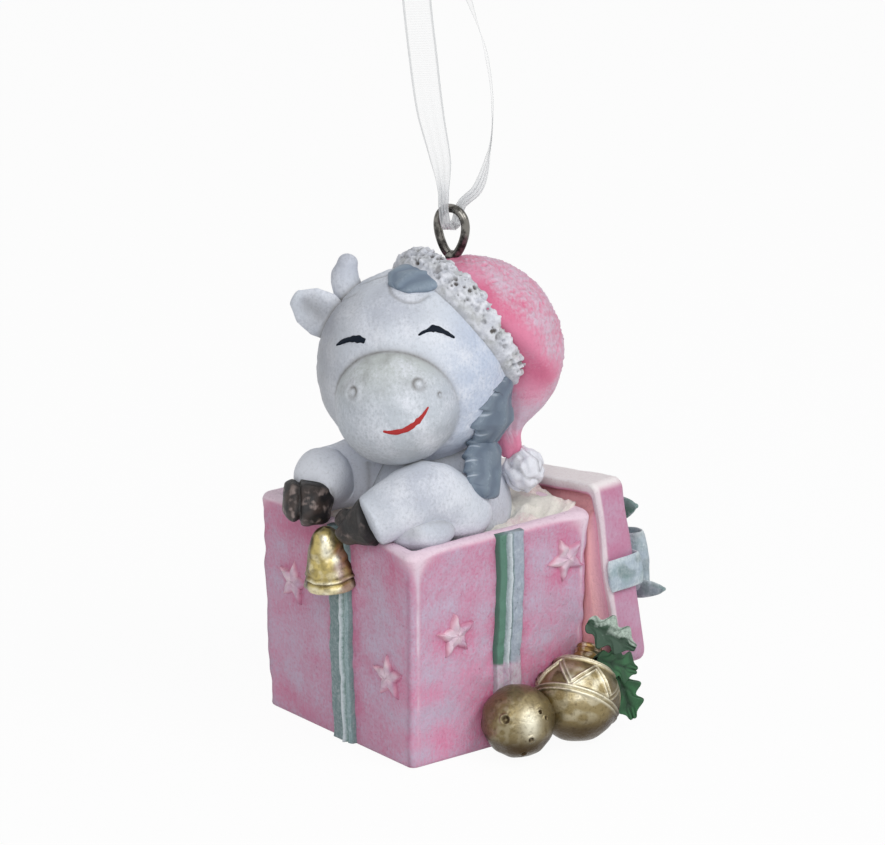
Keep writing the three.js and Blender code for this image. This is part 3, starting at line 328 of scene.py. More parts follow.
def chain_gap(p, path, radii):
    """Distance to a chain of round tapered links."""
    gaps = []
    for a, b, ra, rb in zip(path[:-1], path[1:], radii[:-1], radii[1:]):
        span = b - a
        share = np.clip((p - a) @ span / (span @ span), 0, 1)
        gaps.append(norm(p - a - share[..., None] * span) - lerp(ra, rb, share))
    return np.min(gaps, axis=0)


def ring_gap(p, centre, axis, radius, thickness):
    """Distance to a ring of round section."""
    q = p - centre
    high = q @ axis
    flat = norm(q - high[..., None] * axis)
    return np.hypot(flat - radius, high) - thickness


def soft_union(a, b, k):
    """Smaller of two distances with a fillet of about k."""
    h = np.clip(0.5 + 0.5 * (b - a) / k, 0, 1)
    return lerp(b, a, h) - k * h * (1 - h)


def touch(gap, width):
    """Crease mask: 1 at a neighbour's surface, fading over the width."""
    return np.exp(-np.maximum(gap, 0) / width)


def deepest(*masks):
    """Largest of several masks at each point."""
    return np.max(np.broadcast_arrays(*masks), axis=0)


# Meshes from grids

def patch(points, loop_rows=False, loop_columns=True, tips=(False, False), **fields):
    """Faces over a grid of points [row, column], turned to point out. A tip closes an end row with a fan
    to the row's mean. Each field holds one value or colour for each grid point."""
    rows, columns = points.shape[:2]
    index = np.arange(rows * columns).reshape(rows, columns)
    if loop_rows:
        index = np.vstack([index, index[:1]])
    if loop_columns:
        index = np.hstack([index, index[:, :1]])
    quads = np.stack([index[:-1, :-1], index[:-1, 1:], index[1:, 1:], index[1:, :-1]], -1).reshape(-1, 4)
    places = points.reshape(-1, 3)
    values = {key: np.asarray(v, float).reshape(rows * columns, -1) for key, v in fields.items()}
    triangles = np.zeros((0, 3), int)
    for wanted, row, order in ((tips[0], 0, 1), (tips[1], -1, -1)):
        if not wanted:
            continue
        ring = np.arange(rows * columns).reshape(rows, columns)[row]
        tip = len(places)
        places = np.vstack([places, places[ring].mean(0)])
        values = {key: np.vstack([v, v[ring].mean(0)]) for key, v in values.items()}
        fan = np.stack([np.full(columns, tip), np.roll(ring, -1), ring], -1)
        triangles = np.vstack([triangles, fan[:, ::order]])
    corners = np.vstack([quads[:, :3], quads[:, [0, 2, 3]], triangles])
    a, b, c = (places[corners[:, i]] for i in range(3))
    if np.einsum("ij,ij->", a, np.cross(b, c)) < 0:
        quads, triangles = quads[:, ::-1], triangles[:, ::-1]
    return places, quads, triangles, values


def make(name, patches, material, nodes=(), body="figure"):
    """Mesh object from patches, riding on a body in place of some solids."""
    places, loops, starts, fields, at, total = [], [], [], {}, 0, 0
    for points, quads, triangles, values in patches:
        for faces, corners in ((quads, 4), (triangles, 3)):
            loops.append((faces + at).ravel())
            starts.append(total + corners * np.arange(len(faces)))
            total += corners * len(faces)
        places.append(points)
        for key, value in values.items():
            fields.setdefault(key, []).append(value)
        at += len(points)
    mesh = bpy.data.meshes.new(name)
    places, loops, starts = np.vstack(places) * MM, np.concatenate(loops), np.concatenate(starts)
    mesh.vertices.add(len(places))
    mesh.vertices.foreach_set("co", places.ravel())
    mesh.loops.add(len(loops))
    mesh.loops.foreach_set("vertex_index", loops.astype(np.int32))
    mesh.polygons.add(len(starts))
    mesh.polygons.foreach_set("loop_start", starts.astype(np.int32))
    mesh.polygons.foreach_set("use_smooth", np.ones(len(starts), bool))
    mesh.update(calc_edges=True)
    mesh.validate()
    for key, value in fields.items():
        value = np.vstack(value)
        if value.shape[1] == 3:
            layer = mesh.attributes.new(key, "FLOAT_COLOR", "POINT")
            layer.data.foreach_set("color", np.hstack([value, np.ones((len(value), 1))]).ravel())
        else:
            layer = mesh.attributes.new(key, "FLOAT", "POINT")
            layer.data.foreach_set("value", value.ravel())
    mesh.materials.append(material)
    piece = bpy.data.objects.new(name, mesh)
    bpy.context.scene.collection.objects.link(piece)
    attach(piece, body)
    if nodes:
        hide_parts(*nodes)
    return piece


def skin(name, points, material, node, **fields):
    """Piece from one closed grid, in place of a node's solid."""
    return make(name, [patch(points, tips=(True, True), **fields)], material, [node])


def rays(axis, hint, down, across):
    """Directions over a sphere: the first row lies near the axis and the last one opposite."""
    x, y, z = axes_along(axis, hint)
    polar = np.linspace(0.012, np.pi - 0.012, down)[:, None, None]
    turn = circle(across)[None, :, None]
    return np.cos(polar) * z + np.sin(polar) * (np.cos(turn) * x + np.sin(turn) * y)


def wrap(centre, directions, gap, reach):
    """Skin over joined forms: the outermost point on each ray from a centre where the distance is zero."""
    out = np.full(directions.shape[:2], float(reach))
    for _ in range(48):
        out = np.maximum(out - 0.85 * gap(centre + out[..., None] * directions), 0.05)
    return centre + out[..., None] * directions


def rounded_rows(centres, x, y, half_x, half_y, ends, sides, dome=(1, 1)):
    """Rings of oval section along a path, with a dome at each end. Ends holds the dome's rows, and the
    first and last rows are left open for a tip."""
    count = len(centres)
    angles = np.linspace(88, 6, ends) * np.pi / 180
    sine, cosine = np.sin(angles), np.cos(angles)
    first = np.concatenate([np.zeros(ends, int), np.arange(count), np.full(ends, count - 1)])
    slide = np.concatenate([-dome[0] * sine, np.zeros(count), dome[1] * sine[::-1]])
    shrink = np.concatenate([cosine, np.ones(count), cosine[::-1]])
    z = np.cross(x, y)
    middle = centres[first] + z[first] * (slide * np.minimum(half_x, half_y)[first])[:, None]
    turn = circle(sides)
    wide = (half_x[first] * shrink)[:, None, None] * np.cos(turn)[None, :, None] * x[first][:, None]
    high = (half_y[first] * shrink)[:, None, None] * np.sin(turn)[None, :, None] * y[first][:, None]
    return middle[:, None] + wide + high, first / (count - 1), turn


def limb(path, radii, count=40, sides=48, flat=1.0, face=(0, 0, 1), ends=10, dome=(1, 1)):
    """Round limb with domed ends: an oval section carried along a smooth path. Returns its points, the
    share of the way along for each row, and the angle of each column."""
    line = spline(path, count)
    x, y, _ = axes_along(tangents(line), np.asarray(face, float))
    radius = along(radii, count)
    return rounded_rows(line, x, y, radius, radius * flat, ends, sides, dome)


def lathe(profile, count, sides):
    """Surface of revolution about z: radius and height pairs joined by a smooth curve."""
    line = spline([(r, 0, h) for r, h in profile], count)
    turn = circle(sides)
    radius = np.maximum(line[:, 0], 0.01)[:, None]
    high = np.repeat(line[:, 2:], sides, 1)
    return np.stack([radius * np.cos(turn), radius * np.sin(turn), high], -1), turn


def placed(points, x, y, z, origin):
    """Points of a local frame in the object's frame."""
    return points[..., :1] * x + points[..., 1:2] * y + points[..., 2:3] * z + origin


# Places of the forms

class Layout:
    """Places and directions of the forms, in millimetres, worked out from the settings."""

    def __init__(self, scene):
        box, bull, hat = scene.ornament_box, scene.ornament_bull, scene.ornament_hat
        gilt, hanger = scene.ornament_gilt, scene.ornament_hanger
        self.rim = box.height / MM
        self.half_x, self.half_y = box.width / MM / 2, box.depth / MM / 2
        self.taper = box.taper / MM
        self.front = -self.half_y
        self.set_lid()
        self.set_head(bull)
        self.set_hat(hat)
        self.set_limbs(bull)
        self.set_gilt(gilt)
        self.set_eye(hanger)

    def lean(self, z):
        """How far the walls have moved in at a height."""
        return self.taper * (1 - z / self.rim)

    def on_face(self, name, place, height):
        """Axes and origin on a box face: x along it, y up its slope and z out of it."""
        x, out, half = {
            "front": ((1, 0, 0), (0, -1, 0), self.half_y),
            "right": ((0, 1, 0), (1, 0, 0), self.half_x),
            "left": ((0, -1, 0), (-1, 0, 0), self.half_x),
        }[name]
        x, out = np.array(x, float), np.array(out, float)
        y = unit(np.array([0, 0, self.rim]) + self.taper * out)
        origin = np.array([0, 0, height]) + place * x + (half - self.lean(height)) * out
        return x, y, np.cross(x, y), origin

    def set_lid(self):
        tilt, lean = np.radians(9), np.radians(3)
        self.lid_size = np.array([31, 4.8, 23.5])
        self.lid_x = np.array([np.cos(tilt), 0, np.sin(tilt)])
        out = np.array([0, np.cos(lean), np.sin(lean)])
        self.lid_y = unit(out - (out @ self.lid_x) * self.lid_x)
        self.lid_z = np.cross(self.lid_x, self.lid_y)
        self.lid_corner = np.array([15.4, self.half_y + 0.3, self.rim + 3.1])

    def on_lid(self, points):
        """Points of the lid's frame: x along its top edge, y out of its outer face, z up its slope."""
        return placed(np.asarray(points, float), self.lid_x, self.lid_y, self.lid_z, self.lid_corner)

    def on_bow(self, points):
        """Points of the bow's frame, which starts on the crossing of the lid's ribbon."""
        width, thick, tall = self.lid_size
        return self.on_lid(np.asarray(points, float) + np.array([-width / 2, thick + 0.9, -tall / 2]))

    def set_head(self, bull):
        self.head_radius = bull.head / MM
        self.head = np.array([-0.3, -1.2, self.rim + 17.6])
        self.forward = np.array([np.sin(bull.yaw), -np.cos(bull.yaw), 0])
        self.level = np.array([np.cos(bull.yaw), np.sin(bull.yaw), 0])
        self.left = self.level * np.cos(bull.roll) + np.array([0, 0, np.sin(bull.roll)])
        self.up = np.cross(self.forward, self.left)
        self.muzzle_radii = np.array([1, 1, 0.967]) * bull.muzzle / MM
        self.muzzle = self.on_face_of_head(9.4, 0, -2.2)

    def on_face_of_head(self, ahead, left, up):
        """Point given in the face's directions, from the head's middle."""
        return self.head + ahead * self.forward + left * self.left + up * self.up

    def toward(self, ahead, left, up):
        """Direction from the head's middle with level sides."""
        return unit(ahead * self.forward + left * self.level + np.array([0, 0, up]))

    def head_gap(self, p):
        return ball_gap(p, self.head, self.head_radius)

    def muzzle_gap(self, p):
        return egg_gap(p, self.muzzle, [self.left, self.forward, self.up], self.muzzle_radii)

    def skull_gap(self, p):
        """Head and muzzle with a narrow fillet between them."""
        return soft_union(self.head_gap(p), self.muzzle_gap(p), 0.4)

    def set_hat(self, hat):
        level = np.cos(hat.rise)
        axis = np.array([np.sin(hat.yaw) * level, np.cos(hat.yaw) * level, np.sin(hat.rise)])
        self.hat_x, self.hat_y, self.hat_z = axes_along(axis, np.array([0, 0, 1.0]))
        self.brim = self.head + 8.1 * self.hat_z
        self.brim_radius = hat.brim / MM
        self.roll = np.array([hat.roll_height, hat.roll_width]) / MM / 2
        self.crown_radius = hat.crown / MM
        self.crown = self.head + 6.8 * self.hat_z + np.array([1.58, 1.18, -2.0])
        stations = [(2.4, 4, 0, 6), (4.2, 4.7, -4, 4.2), (4.15, 3.95, -6.3, 3.15),
                    (4.15, 3.2, -8.6, 1.95), (4.6, 3.05, -10.6, 0.95), (4.65, 2.5, -12.4, 1.45)]
        tail = spline(stations, 26)
        self.tail = self.crown + tail[:, :3] * (self.crown_radius / 10.9)
        self.tail_radii = tail[:, 3]
        self.bobble_radius = hat.bobble / MM
        self.bobble = self.tail[-1] + np.array([1.4, 1.1, -0.95 - 0.75 * self.bobble_radius])

    def brim_gap(self, p):
        return ring_gap(p, self.brim, self.hat_z, self.brim_radius, self.roll[0])

    def crown_gap(self, p):
        """Ball, cut off behind the fur roll, and tail in one."""
        q = p - self.brim
        high = q @ self.hat_z
        flat = norm(q - high[..., None] * self.hat_z)
        cone = (flat - self.brim_radius - 0.2 - 1.3 * high) * 0.61
        ball = -soft_union(-ball_gap(p, self.crown, self.crown_radius), -cone, 1.0)
        return soft_union(np.maximum(ball, -1.8 - high), chain_gap(p, self.tail, self.tail_radii), 2.4)

    def set_limbs(self, bull):
        lip = np.array([0, self.front, self.rim])
        self.right_arm = lip + np.array([(-4.6, 10.2, 4.4), (-5.6, 3.7, 3.4), (-3.32, 0.88, 4.94)])
        self.left_arm = lip + np.array([(9.5, 11.5, 1.6), (10.4, 5.6, 5.2), (7.78, 0.09, 2.49)])
        self.right_radii = np.array([4.1, 3.94, 3.5])
        self.left_radii = np.array([4.35, 4.26, 3.3])
        self.left_way = unit((-0.84, -0.42, -0.36))
        self.hoof_radius = bull.hoof / MM
        self.right_hoof = self.right_arm[2] + np.array([(0.35, -2.25, -0.75), (0.85, -3.1, -3.6)])
        self.left_hoof = self.left_arm[2] + np.outer((0.5, 2.9), self.left_way)

    def arm_gap(self, p):
        right = chain_gap(p, spline(self.right_arm, 9), along(self.right_radii, 9))
        return np.minimum(right, chain_gap(p, spline(self.left_arm, 9), along(self.left_radii, 9)))

    def set_gilt(self, gilt):
        self.bell_radius, self.bell_height = gilt.bell / MM, gilt.bell_height / MM
        lean = np.radians(9)
        mouth = self.half_y - self.lean(self.rim - self.bell_height) + 0.3 + self.bell_radius
        self.bell = np.array([1.1, -(mouth - np.sin(lean) * self.bell_height), self.rim + 0.3])
        self.bell_y = np.array([0, np.cos(lean), np.sin(lean)])
        self.bell_z = np.array([0, -np.sin(lean), np.cos(lean)])
        self.large_radius, self.small_radius = gilt.large / MM, gilt.small / MM
        large_wall = self.half_x - self.lean(5.7)
        small_wall = self.half_x - self.lean(self.small_radius)
        self.large = np.array([large_wall + self.large_radius - 1.3, 9.1, 5.4])
        self.small = np.array([small_wall + self.small_radius - 0.7, 0.15, self.small_radius + 0.02])
        self.bauble_axes = axes_along(np.array([-0.36, 0.6, 0.72]), np.array([1.0, 0, 0]))

    def set_eye(self, hanger):
        yaw = np.radians(22)
        place = np.array([-1.2, 5.2])
        flat = np.sum((place - self.crown[:2]) ** 2)
        top = self.crown[2] + np.sqrt(self.crown_radius ** 2 - flat)
        self.eye_foot = np.array([*place, top + 0.5])
        self.eye_x = np.array([np.cos(yaw), np.sin(yaw), 0])
        self.eye_y = np.array([-np.sin(yaw), np.cos(yaw), 0])
        self.eye_middle = 0.56 * hanger.eye_height / MM

    def on_eye(self, points):
        """Points of the eye's frame: x across it, y along its hole, z up from its foot."""
        up = np.array([0, 0, 1.0])
        return placed(np.asarray(points, float), self.eye_x, self.eye_y, up, self.eye_foot)


# Materials

class Nodes:
    """Short way to add linked nodes to a tree."""

    def __init__(self, tree):
        self.tree = tree

    def add(self, kind, inputs=None, **settings):
        node = self.tree.nodes.new("ShaderNode" + kind)
        for key, value in settings.items():
            setattr(node, key, value)
        for key, value in (inputs or {}).items():
            self.link(node.inputs[key], value)
        return node

    def link(self, socket, value):
        if isinstance(value, bpy.types.NodeSocket):
            self.tree.links.new(value, socket)
        else:
            socket.default_value = value

    def math(self, operation, first, second=0.0, clamp=False):
        return self.add("Math", {0: first, 1: second}, operation=operation, use_clamp=clamp).outputs[0]

    def mix(self, share, first, second):
        node = self.add("Mix", data_type="RGBA", clamp_factor=True)
        for socket, value in zip((node.inputs[0], node.inputs[6], node.inputs[7]), (share, first, second)):
            self.link(socket, value)
        return node.outputs[2]

    def span(self, value, low, high, to_low=0.0, to_high=1.0):
        node = self.add("MapRange", interpolation_type="SMOOTHSTEP", clamp=True)
        for key, item in zip(range(5), (value, low, high, to_low, to_high)):
            self.link(node.inputs[key], item)
        return node.outputs[0]

    def noise(self, vector, scale, detail=3.0, roughness=0.55):
        inputs = {"Vector": vector, "Scale": scale, "Detail": detail, "Roughness": roughness}
        return self.add("TexNoise", inputs).outputs[0]

    def field(self, name):
        return self.add("Attribute", attribute_name=name).outputs["Fac"]

    def tint(self):
        return self.add("Attribute", attribute_name="tint").outputs["Color"]

    def millimetres(self, stretch=(1, 1, 1), turn=(0, 0, 0)):
        place = self.add("TexCoord").outputs["Object"]
        turned = self.add("Mapping", {"Vector": place, "Rotation": turn}).outputs[0]
        scale = tuple(1000 * s for s in stretch)
        return self.add("Mapping", {"Vector": turned, "Scale": scale}).outputs[0]


def four(display):
    return (*linear(display), 1.0)


def group(name, inputs, outputs, build):
    """Shader node group, made once. The build function gets the tree's helper and the input sockets, and
    returns the outputs."""
    if name in bpy.data.node_groups:
        return bpy.data.node_groups[name]
    tree = bpy.data.node_groups.new(name, "ShaderNodeTree")
    for key, kind in inputs:
        tree.interface.new_socket(name=key, in_out="INPUT", socket_type="NodeSocket" + kind)
    for key, kind in outputs:
        tree.interface.new_socket(name=key, in_out="OUTPUT", socket_type="NodeSocket" + kind)
    helper = Nodes(tree)
    entry = tree.nodes.new("NodeGroupInput")
    leave = tree.nodes.new("NodeGroupOutput")
    made = build(helper, entry.outputs)
    for key, _ in outputs:
        helper.link(leave.inputs[key], made[key])
    return tree


def paint_layers():
    """Hand paint: a base tint, a dry-brushed coat that catches on the grain, and a wash in the creases."""

    def build(n, given):
        fine = n.noise(n.millimetres(), 2.6, 5, 0.65)
        middle = n.noise(n.millimetres(), 0.5, 4, 0.6)
        streak = n.noise(n.millimetres((1, 1, 0.22)), 3.4, 3, 0.6)
        hatch = n.noise(n.millimetres((1, 1, 0.15), (0.7, 0.7, 0)), 3.0, 3, 0.6)
        brush = n.math("ADD", n.math("MULTIPLY", streak, 0.22), n.math("MULTIPLY", hatch, 0.22))
        grain = n.math("ADD", n.math("MULTIPLY", fine, 0.36), n.math("MULTIPLY", middle, 0.20))
        grain = n.math("ADD", grain, brush)
        catch = n.math("ADD", n.math("MULTIPLY", n.math("SUBTRACT", grain, 0.5), 2.1), given["Rub"])
        top = n.span(catch, 0.15, 0.95)
        brushed = n.mix(top, given["Tint"], given["Dry"])
        uneven = n.math("ADD", n.math("MULTIPLY", middle, 0.9), 0.5)
        # Where the crease mask lies the paint turns dark: washes in the creases, and painted shade where
        # parts meet.
        pool = n.math("MULTIPLY", given["Crease"], uneven, True)
        grimy = n.mix(n.span(fine, 0.52, 0.30, 0.0, 0.14), brushed, given["Wash_and_shade"])
        washed = n.mix(pool, grimy, given["Wash_and_shade"])
        speck = n.span(n.noise(n.millimetres(), 1.7, 2, 0.5), 0.70, 0.76)
        colour = n.mix(n.math("MULTIPLY", speck, given["Speck"]), washed, given["Wash_and_shade"])
        height = n.math("ADD", n.math("MULTIPLY", fine, 0.5), brush)
        rough = n.math("ADD", n.math("MULTIPLY", fine, 0.22), 0.42)
        return {"Colour": colour, "Height": height, "Roughness": rough}

    inputs = [("Tint", "Color"), ("Dry", "Color"), ("Wash_and_shade", "Color"), ("Rub", "Float"), ("Crease", "Float"),
              ("Speck", "Float")]
    outputs = [("Colour", "Color"), ("Height", "Float"), ("Roughness", "Float")]
    return group("paint_layers", inputs, outputs, build)


def new_material(name):
    """Empty material with its helper and its Principled shader."""
    material = bpy.data.materials.new(name)
    material.use_nodes = True
    helper = Nodes(material.node_tree)
    return material, helper, material.node_tree.nodes["Principled BSDF"]


def painted(name, dry, wash, speck=0.0, bump=0.12, specular=0.4):
    """Paint over the piece's own tint, rub and crease fields."""
    if name in bpy.data.materials:
        return bpy.data.materials[name]
    material, n, shader = new_material(name)
    layers = n.add("Group", node_tree=paint_layers())
    values = {"Tint": n.tint(), "Dry": four(dry), "Wash_and_shade": four(wash), "Rub": n.field("rub"),
              "Crease": n.field("wash"), "Speck": speck}
    for key, value in values.items():
        n.link(layers.inputs[key], value)
    relief = n.add("Bump", {"Height": layers.outputs["Height"], "Strength": bump, "Distance": 0.0004})
    n.link(shader.inputs["Base Color"], layers.outputs["Colour"])
    n.link(shader.inputs["Roughness"], layers.outputs["Roughness"])
    n.link(shader.inputs["Normal"], relief.outputs[0])
    shader.inputs["Specular IOR Level"].default_value = specular
    return material


def gilded(name, patina_and_shade):
    """Gold paint: metal flake over the piece's own tint, with a dark wash in the recesses."""
    if name in bpy.data.materials:
        return bpy.data.materials[name]
    material, n, shader = new_material(name)
    fine = n.noise(n.millimetres(), 2.4, 5, 0.65)
    broad = n.noise(n.millimetres(), 0.8, 3, 0.6)
    pool = n.math("ADD", n.field("wash"), n.span(broad, 0.54, 0.76, 0.0, 0.5), True)
    pool = n.math("ADD", pool, n.span(fine, 0.50, 0.28, 0.0, 0.4), True)
    n.link(shader.inputs["Base Color"], n.mix(pool, n.tint(), four(patina_and_shade)))
    rough = n.math("ADD", n.math("MULTIPLY", fine, 0.22), n.math("MULTIPLY", pool, 0.22))
    n.link(shader.inputs["Roughness"], n.math("ADD", rough, 0.19))
    shader.inputs["Metallic"].default_value = 0.8
    relief = n.add("Bump", {"Height": fine, "Strength": 0.35, "Distance": 0.0003})
    n.link(shader.inputs["Normal"], relief.outputs[0])
    return material


def nickel(name, tone):
    """Tarnished wire: bright metal with darker drawn streaks."""
    material, n, shader = new_material(name)
    dull = n.noise(n.millimetres(), 1.1, 4, 0.6)
    dark = tuple(0.25 * c for c in linear(tone))
    n.link(shader.inputs["Base Color"], n.mix(n.span(dull, 0.38, 0.66), four(tone), (*dark, 1)))
    n.link(shader.inputs["Roughness"], n.math("ADD", n.math("MULTIPLY", dull, 0.3), 0.12))
    shader.inputs["Metallic"].default_value = 1.0
    return material


def organza(name, tone):
    """Sheer woven ribbon: thin threads with denser satin edges, from the fields along and across."""
    material, n, shader = new_material(name)
    across, way = n.field("across"), n.field("way")
    thread = n.math("SINE", n.math("MULTIPLY", across, 190.0))
    weft = n.math("SINE", n.math("MULTIPLY", way, 1500.0))
    weave = n.math("MULTIPLY", n.math("ADD", thread, weft), 0.014)
    edge = n.span(n.math("ABSOLUTE", across), 0.80, 0.9)
    body = n.math("ADD", n.field("gather"), weave)
    cover = n.math("MAXIMUM", n.math("MULTIPLY", edge, 0.36), body, True)
    n.link(shader.inputs["Alpha"], cover)
    pale = tuple(0.86 * c for c in linear(tone))
    n.link(shader.inputs["Base Color"], n.mix(edge, four(tone), (*pale, 1)))
    n.link(shader.inputs["Roughness"], n.math("ADD", n.math("MULTIPLY", edge, -0.15), 0.5))
    shader.inputs["Sheen Weight"].default_value = 0.3
    return material


# Gift box

# Relief stars: face, place along it, height and lean in degrees
STARS = {
    "front_star_left": ("front", -8.4, 18, -8), "front_star_right": ("front", 10.4, 10.9, 3),
    "right_star_lower": ("right", -6.9, 16.2, 6), "right_star_upper": ("right", 10.2, 22.4, 24),
    "left_star_upper": ("left", -7, 20, 10), "left_star_lower": ("left", 7.5, 10, -10),
}

# Relief ribbons: face and place along it
BANDS = {"front_band": ("front", 1.4), "right_band": ("right", 1.2), "left_band": ("left", 0.0)}


def rounded_rectangles(half_x, half_y, corner, heights, side=46, arc=12):
    """Rings round upright axes: rectangles with round corners, one for each height."""
    turn = np.linspace(0, np.pi / 2, arc)
    share = (np.linspace(-1, 1, side + 2)[1:-1, None] + 1) / 2
    signs = np.array([(1, 1), (-1, 1), (-1, -1), (1, -1)])
    places, bends = [], []
    for quarter, (sign, after) in enumerate(zip(signs, np.roll(signs, -1, 0))):
        places += [np.tile(sign, (arc, 1)), lerp(sign, after, share)]
        sweep = turn + quarter * np.pi / 2
        sweep = np.concatenate([sweep, np.full(side, sweep[-1])])
        bends.append(np.stack([np.cos(sweep), np.sin(sweep)], -1))
    half = np.stack([half_x, half_y], -1)[:, None]
    corner = np.asarray(corner, float)[:, None, None]
    flat = np.concatenate(places) * (half - corner) + corner * np.concatenate(bends)
    high = np.broadcast_to(np.asarray(heights, float)[:, None, None], (*flat.shape[:2], 1))
    return np.concatenate([flat, high], -1)


class ORNAMENT_OT_box(bpy.types.Operator):
    """Gift box with a thick lip: a rounded rectangle carried up the wall, over the rim and down inside"""

    bl_idname = "ornament.box"
    bl_label = "Gift box"

    def execute(self, context):
        box, at = context.scene.ornament_box, Layout(context.scene)
        edge, wall = box.edge / MM, box.wall / MM
        sole, swell = 0.45, 0.12
        foot = np.linspace(0, np.pi / 2, 7)
        rise = np.linspace(sole, at.rim - 2.2, 84)[1:]
        lip = np.linspace(0, np.pi, 22)
        inside = np.linspace(at.rim - 1.6, at.rim - 4.5, 8)
        over = (wall + swell) / 2 * (1 - np.cos(lip)) - swell
        heights = [[0, 0], sole - sole * np.cos(foot), rise, at.rim - 1 + np.sin(lip), inside]
        inset = [[12, 3], sole - sole * np.sin(foot), np.zeros(83), over, np.full(8, wall)]
        heights, inset = np.concatenate(heights), np.concatenate(inset)
        inset = inset + at.lean(heights)
        corner = np.clip(edge - 0.35 * inset, 0.35, edge)
        p = rounded_rectangles(at.half_x - inset, at.half_y - inset, corner, heights)
        out = unit(p * (1, 1, 0) + 1e-9)
        low = ease(0.0, 1.2, p[..., 2])[..., None]
        p = p + out * low * (0.10 * lumps(p, 9, 1) + 0.05 * lumps(p, 2.6, 2))[..., None]
        self.paint(context, at, p)
        return {"FINISHED"}

    def paint(self, context, at, p):
        """Base coat, airbrushed glow round the relief, and pale rubbed edges."""
        box = context.scene.ornament_box
        z = p[..., 2]
        side_x = np.abs(p[..., 0]) - at.half_x + at.lean(z)
        side_y = np.abs(p[..., 1]) - at.half_y + at.lean(z)
        corner = np.hypot(side_x + 0.1, side_y + 1.1)
        flare = 0.2 + 2.4 * np.exp(-np.maximum(at.rim - 0.6 - z, 0) / 1.3)
        upper = ease(at.rim - 4, at.rim - 1, z)
        pale = 0.95 * bell_curve(corner, flare) + 0.85 * ease(at.rim - 0.9, at.rim - 0.2, z)
        outward = unit(p * (1, 1, 0) / (at.half_x, at.half_y, 1) + 1e-9)
        front = ease(0.6, 0.9, -outward[..., 1])
        glow = self.glow(at, p, front)
        shade = 1 - 0.2 * front - 0.13 * (1 - front) * ease(9, 20, z)
        tint = coat(linear(box.pink), box.hot, glow) * shade[..., None]
        rubbed = coat(linear((0.91, 0.86, 0.92)), box.pale, upper)
        tint = blend(tint, rubbed, np.clip(pale, 0, 0.9))
        grey = front * ease(3, 10, p[..., 0]) * ease(8, 14, z)
        rub = 0.62 - 0.42 * glow - 0.04 * front + 0.14 * grey - 0.6 * pale + 0.08 * lumps(p, 5, 4)
        beside = bell_curve(np.hypot(side_x + 0.6, side_y + 0.08), 0.3)
        beside = beside * ease(at.rim - 1.5, at.rim - 4, z)
        # Darker as painted shade where the arms rest on the rim and along the foot of the box, and in a thin
        # line beside each upright edge.
        crease = 0.5 * touch(at.arm_gap(p), 0.5) + 0.6 * touch(z, 0.25) + 0.5 * beside
        material = painted("box_paint", box.lilac, (0.55, 0.34, 0.45), speck=0.35, bump=0.55)
        fields = {"tint": tint, "rub": np.clip(rub, 0, 0.9), "wash": np.clip(crease, 0, 1)}
        skin("box_shell", p, material, "gift_box", **fields)

    def glow(self, at, p, front):
        """Mask of the airbrushed pink: low and high on the walls, round the relief and behind the baubles."""
        z = p[..., 2]
        glow = 0.3 * bell_curve(z, 4.5) + (0.25 + 0.3 * front) * ease(15, 27, z)
        for face, place, height, _ in STARS.values():
            _, _, _, origin = at.on_face(face, place, height)
            glow = np.maximum(glow, 0.6 * bell_curve(norm(p - origin), 3.4))
        for face, place in BANDS.values():
            x, _, out, origin = at.on_face(face, place, at.rim / 2)
            near = np.abs((p - origin) @ x) - 2.2
            on = ease(2.5, 0.5, np.abs((p - origin) @ out))
            glow = np.maximum(glow, 0.45 * on * bell_curve(np.maximum(near, 0), 1.3))
        for centre, radius in ((at.large, at.large_radius), (at.small, at.small_radius)):
            glow = np.maximum(glow, 0.9 * touch(ball_gap(p, centre, radius), 1.6))
        return np.clip(glow + 0.12 * lumps(p, 7, 3), 0, 1)


class ORNAMENT_OT_tissue(bpy.types.Operator):
    """Crumpled tissue in the mouth: a height field over a rectangle, closed underneath"""

    bl_idname = "ornament.tissue"
    bl_label = "Tissue"

    def execute(self, context):
        box, at = context.scene.ornament_box, Layout(context.scene)
        room, low = box.wall / MM - 0.15, at.rim - 4.4
        share = np.linspace(1, 0.01, 60)
        half_x, half_y = (at.half_x - room) * share, (at.half_y - room) * share
        level = np.full(60, at.rim - 1.5)
        rings = rounded_rectangles(half_x, half_y, 0.9 * share, level, 30, 8)
        skirt = rounded_rectangles([0.2, half_x[0]], [0.2, half_y[0]], [0.05, 0.9], [low, low], 30, 8)
        crumple = 0.32 * lumps(rings, 3.4, 11) + 0.3 * np.abs(lumps(rings, 1.8, 12))
        rings[..., 2] += crumple - 0.2
        rings[..., 1] = np.where(rings[..., 1] > 0, rings[..., 1] * 1.15, rings[..., 1])
        rings[..., 2] += (1.7 + 0.5 * lumps(rings, 4.5, 14)) * ease(5, 12, rings[..., 1])
        p = np.concatenate([skirt, rings])
        fold = np.concatenate([np.zeros(skirt.shape[:2]), ease(0.0, -0.7, crumple)])
        tint = coat(linear(box.tissue), (0.93, 0.72, 0.78), 0.5 * ease(0.1, 0.7, lumps(p, 8, 13)))
        # Darker in the hollows of the crumples and, as painted shade, round the arms.
        crease = np.clip(0.6 * fold + 0.6 * touch(at.arm_gap(p), 0.8), 0, 1)
        material = painted("tissue_pale", (0.96, 0.95, 0.91), (0.62, 0.66, 0.54), bump=0.25)
        skin("tissue_sheet", p, material, "tissue", tint=tint, rub=even(p, 0.5), wash=crease)
        return {"FINISHED"}


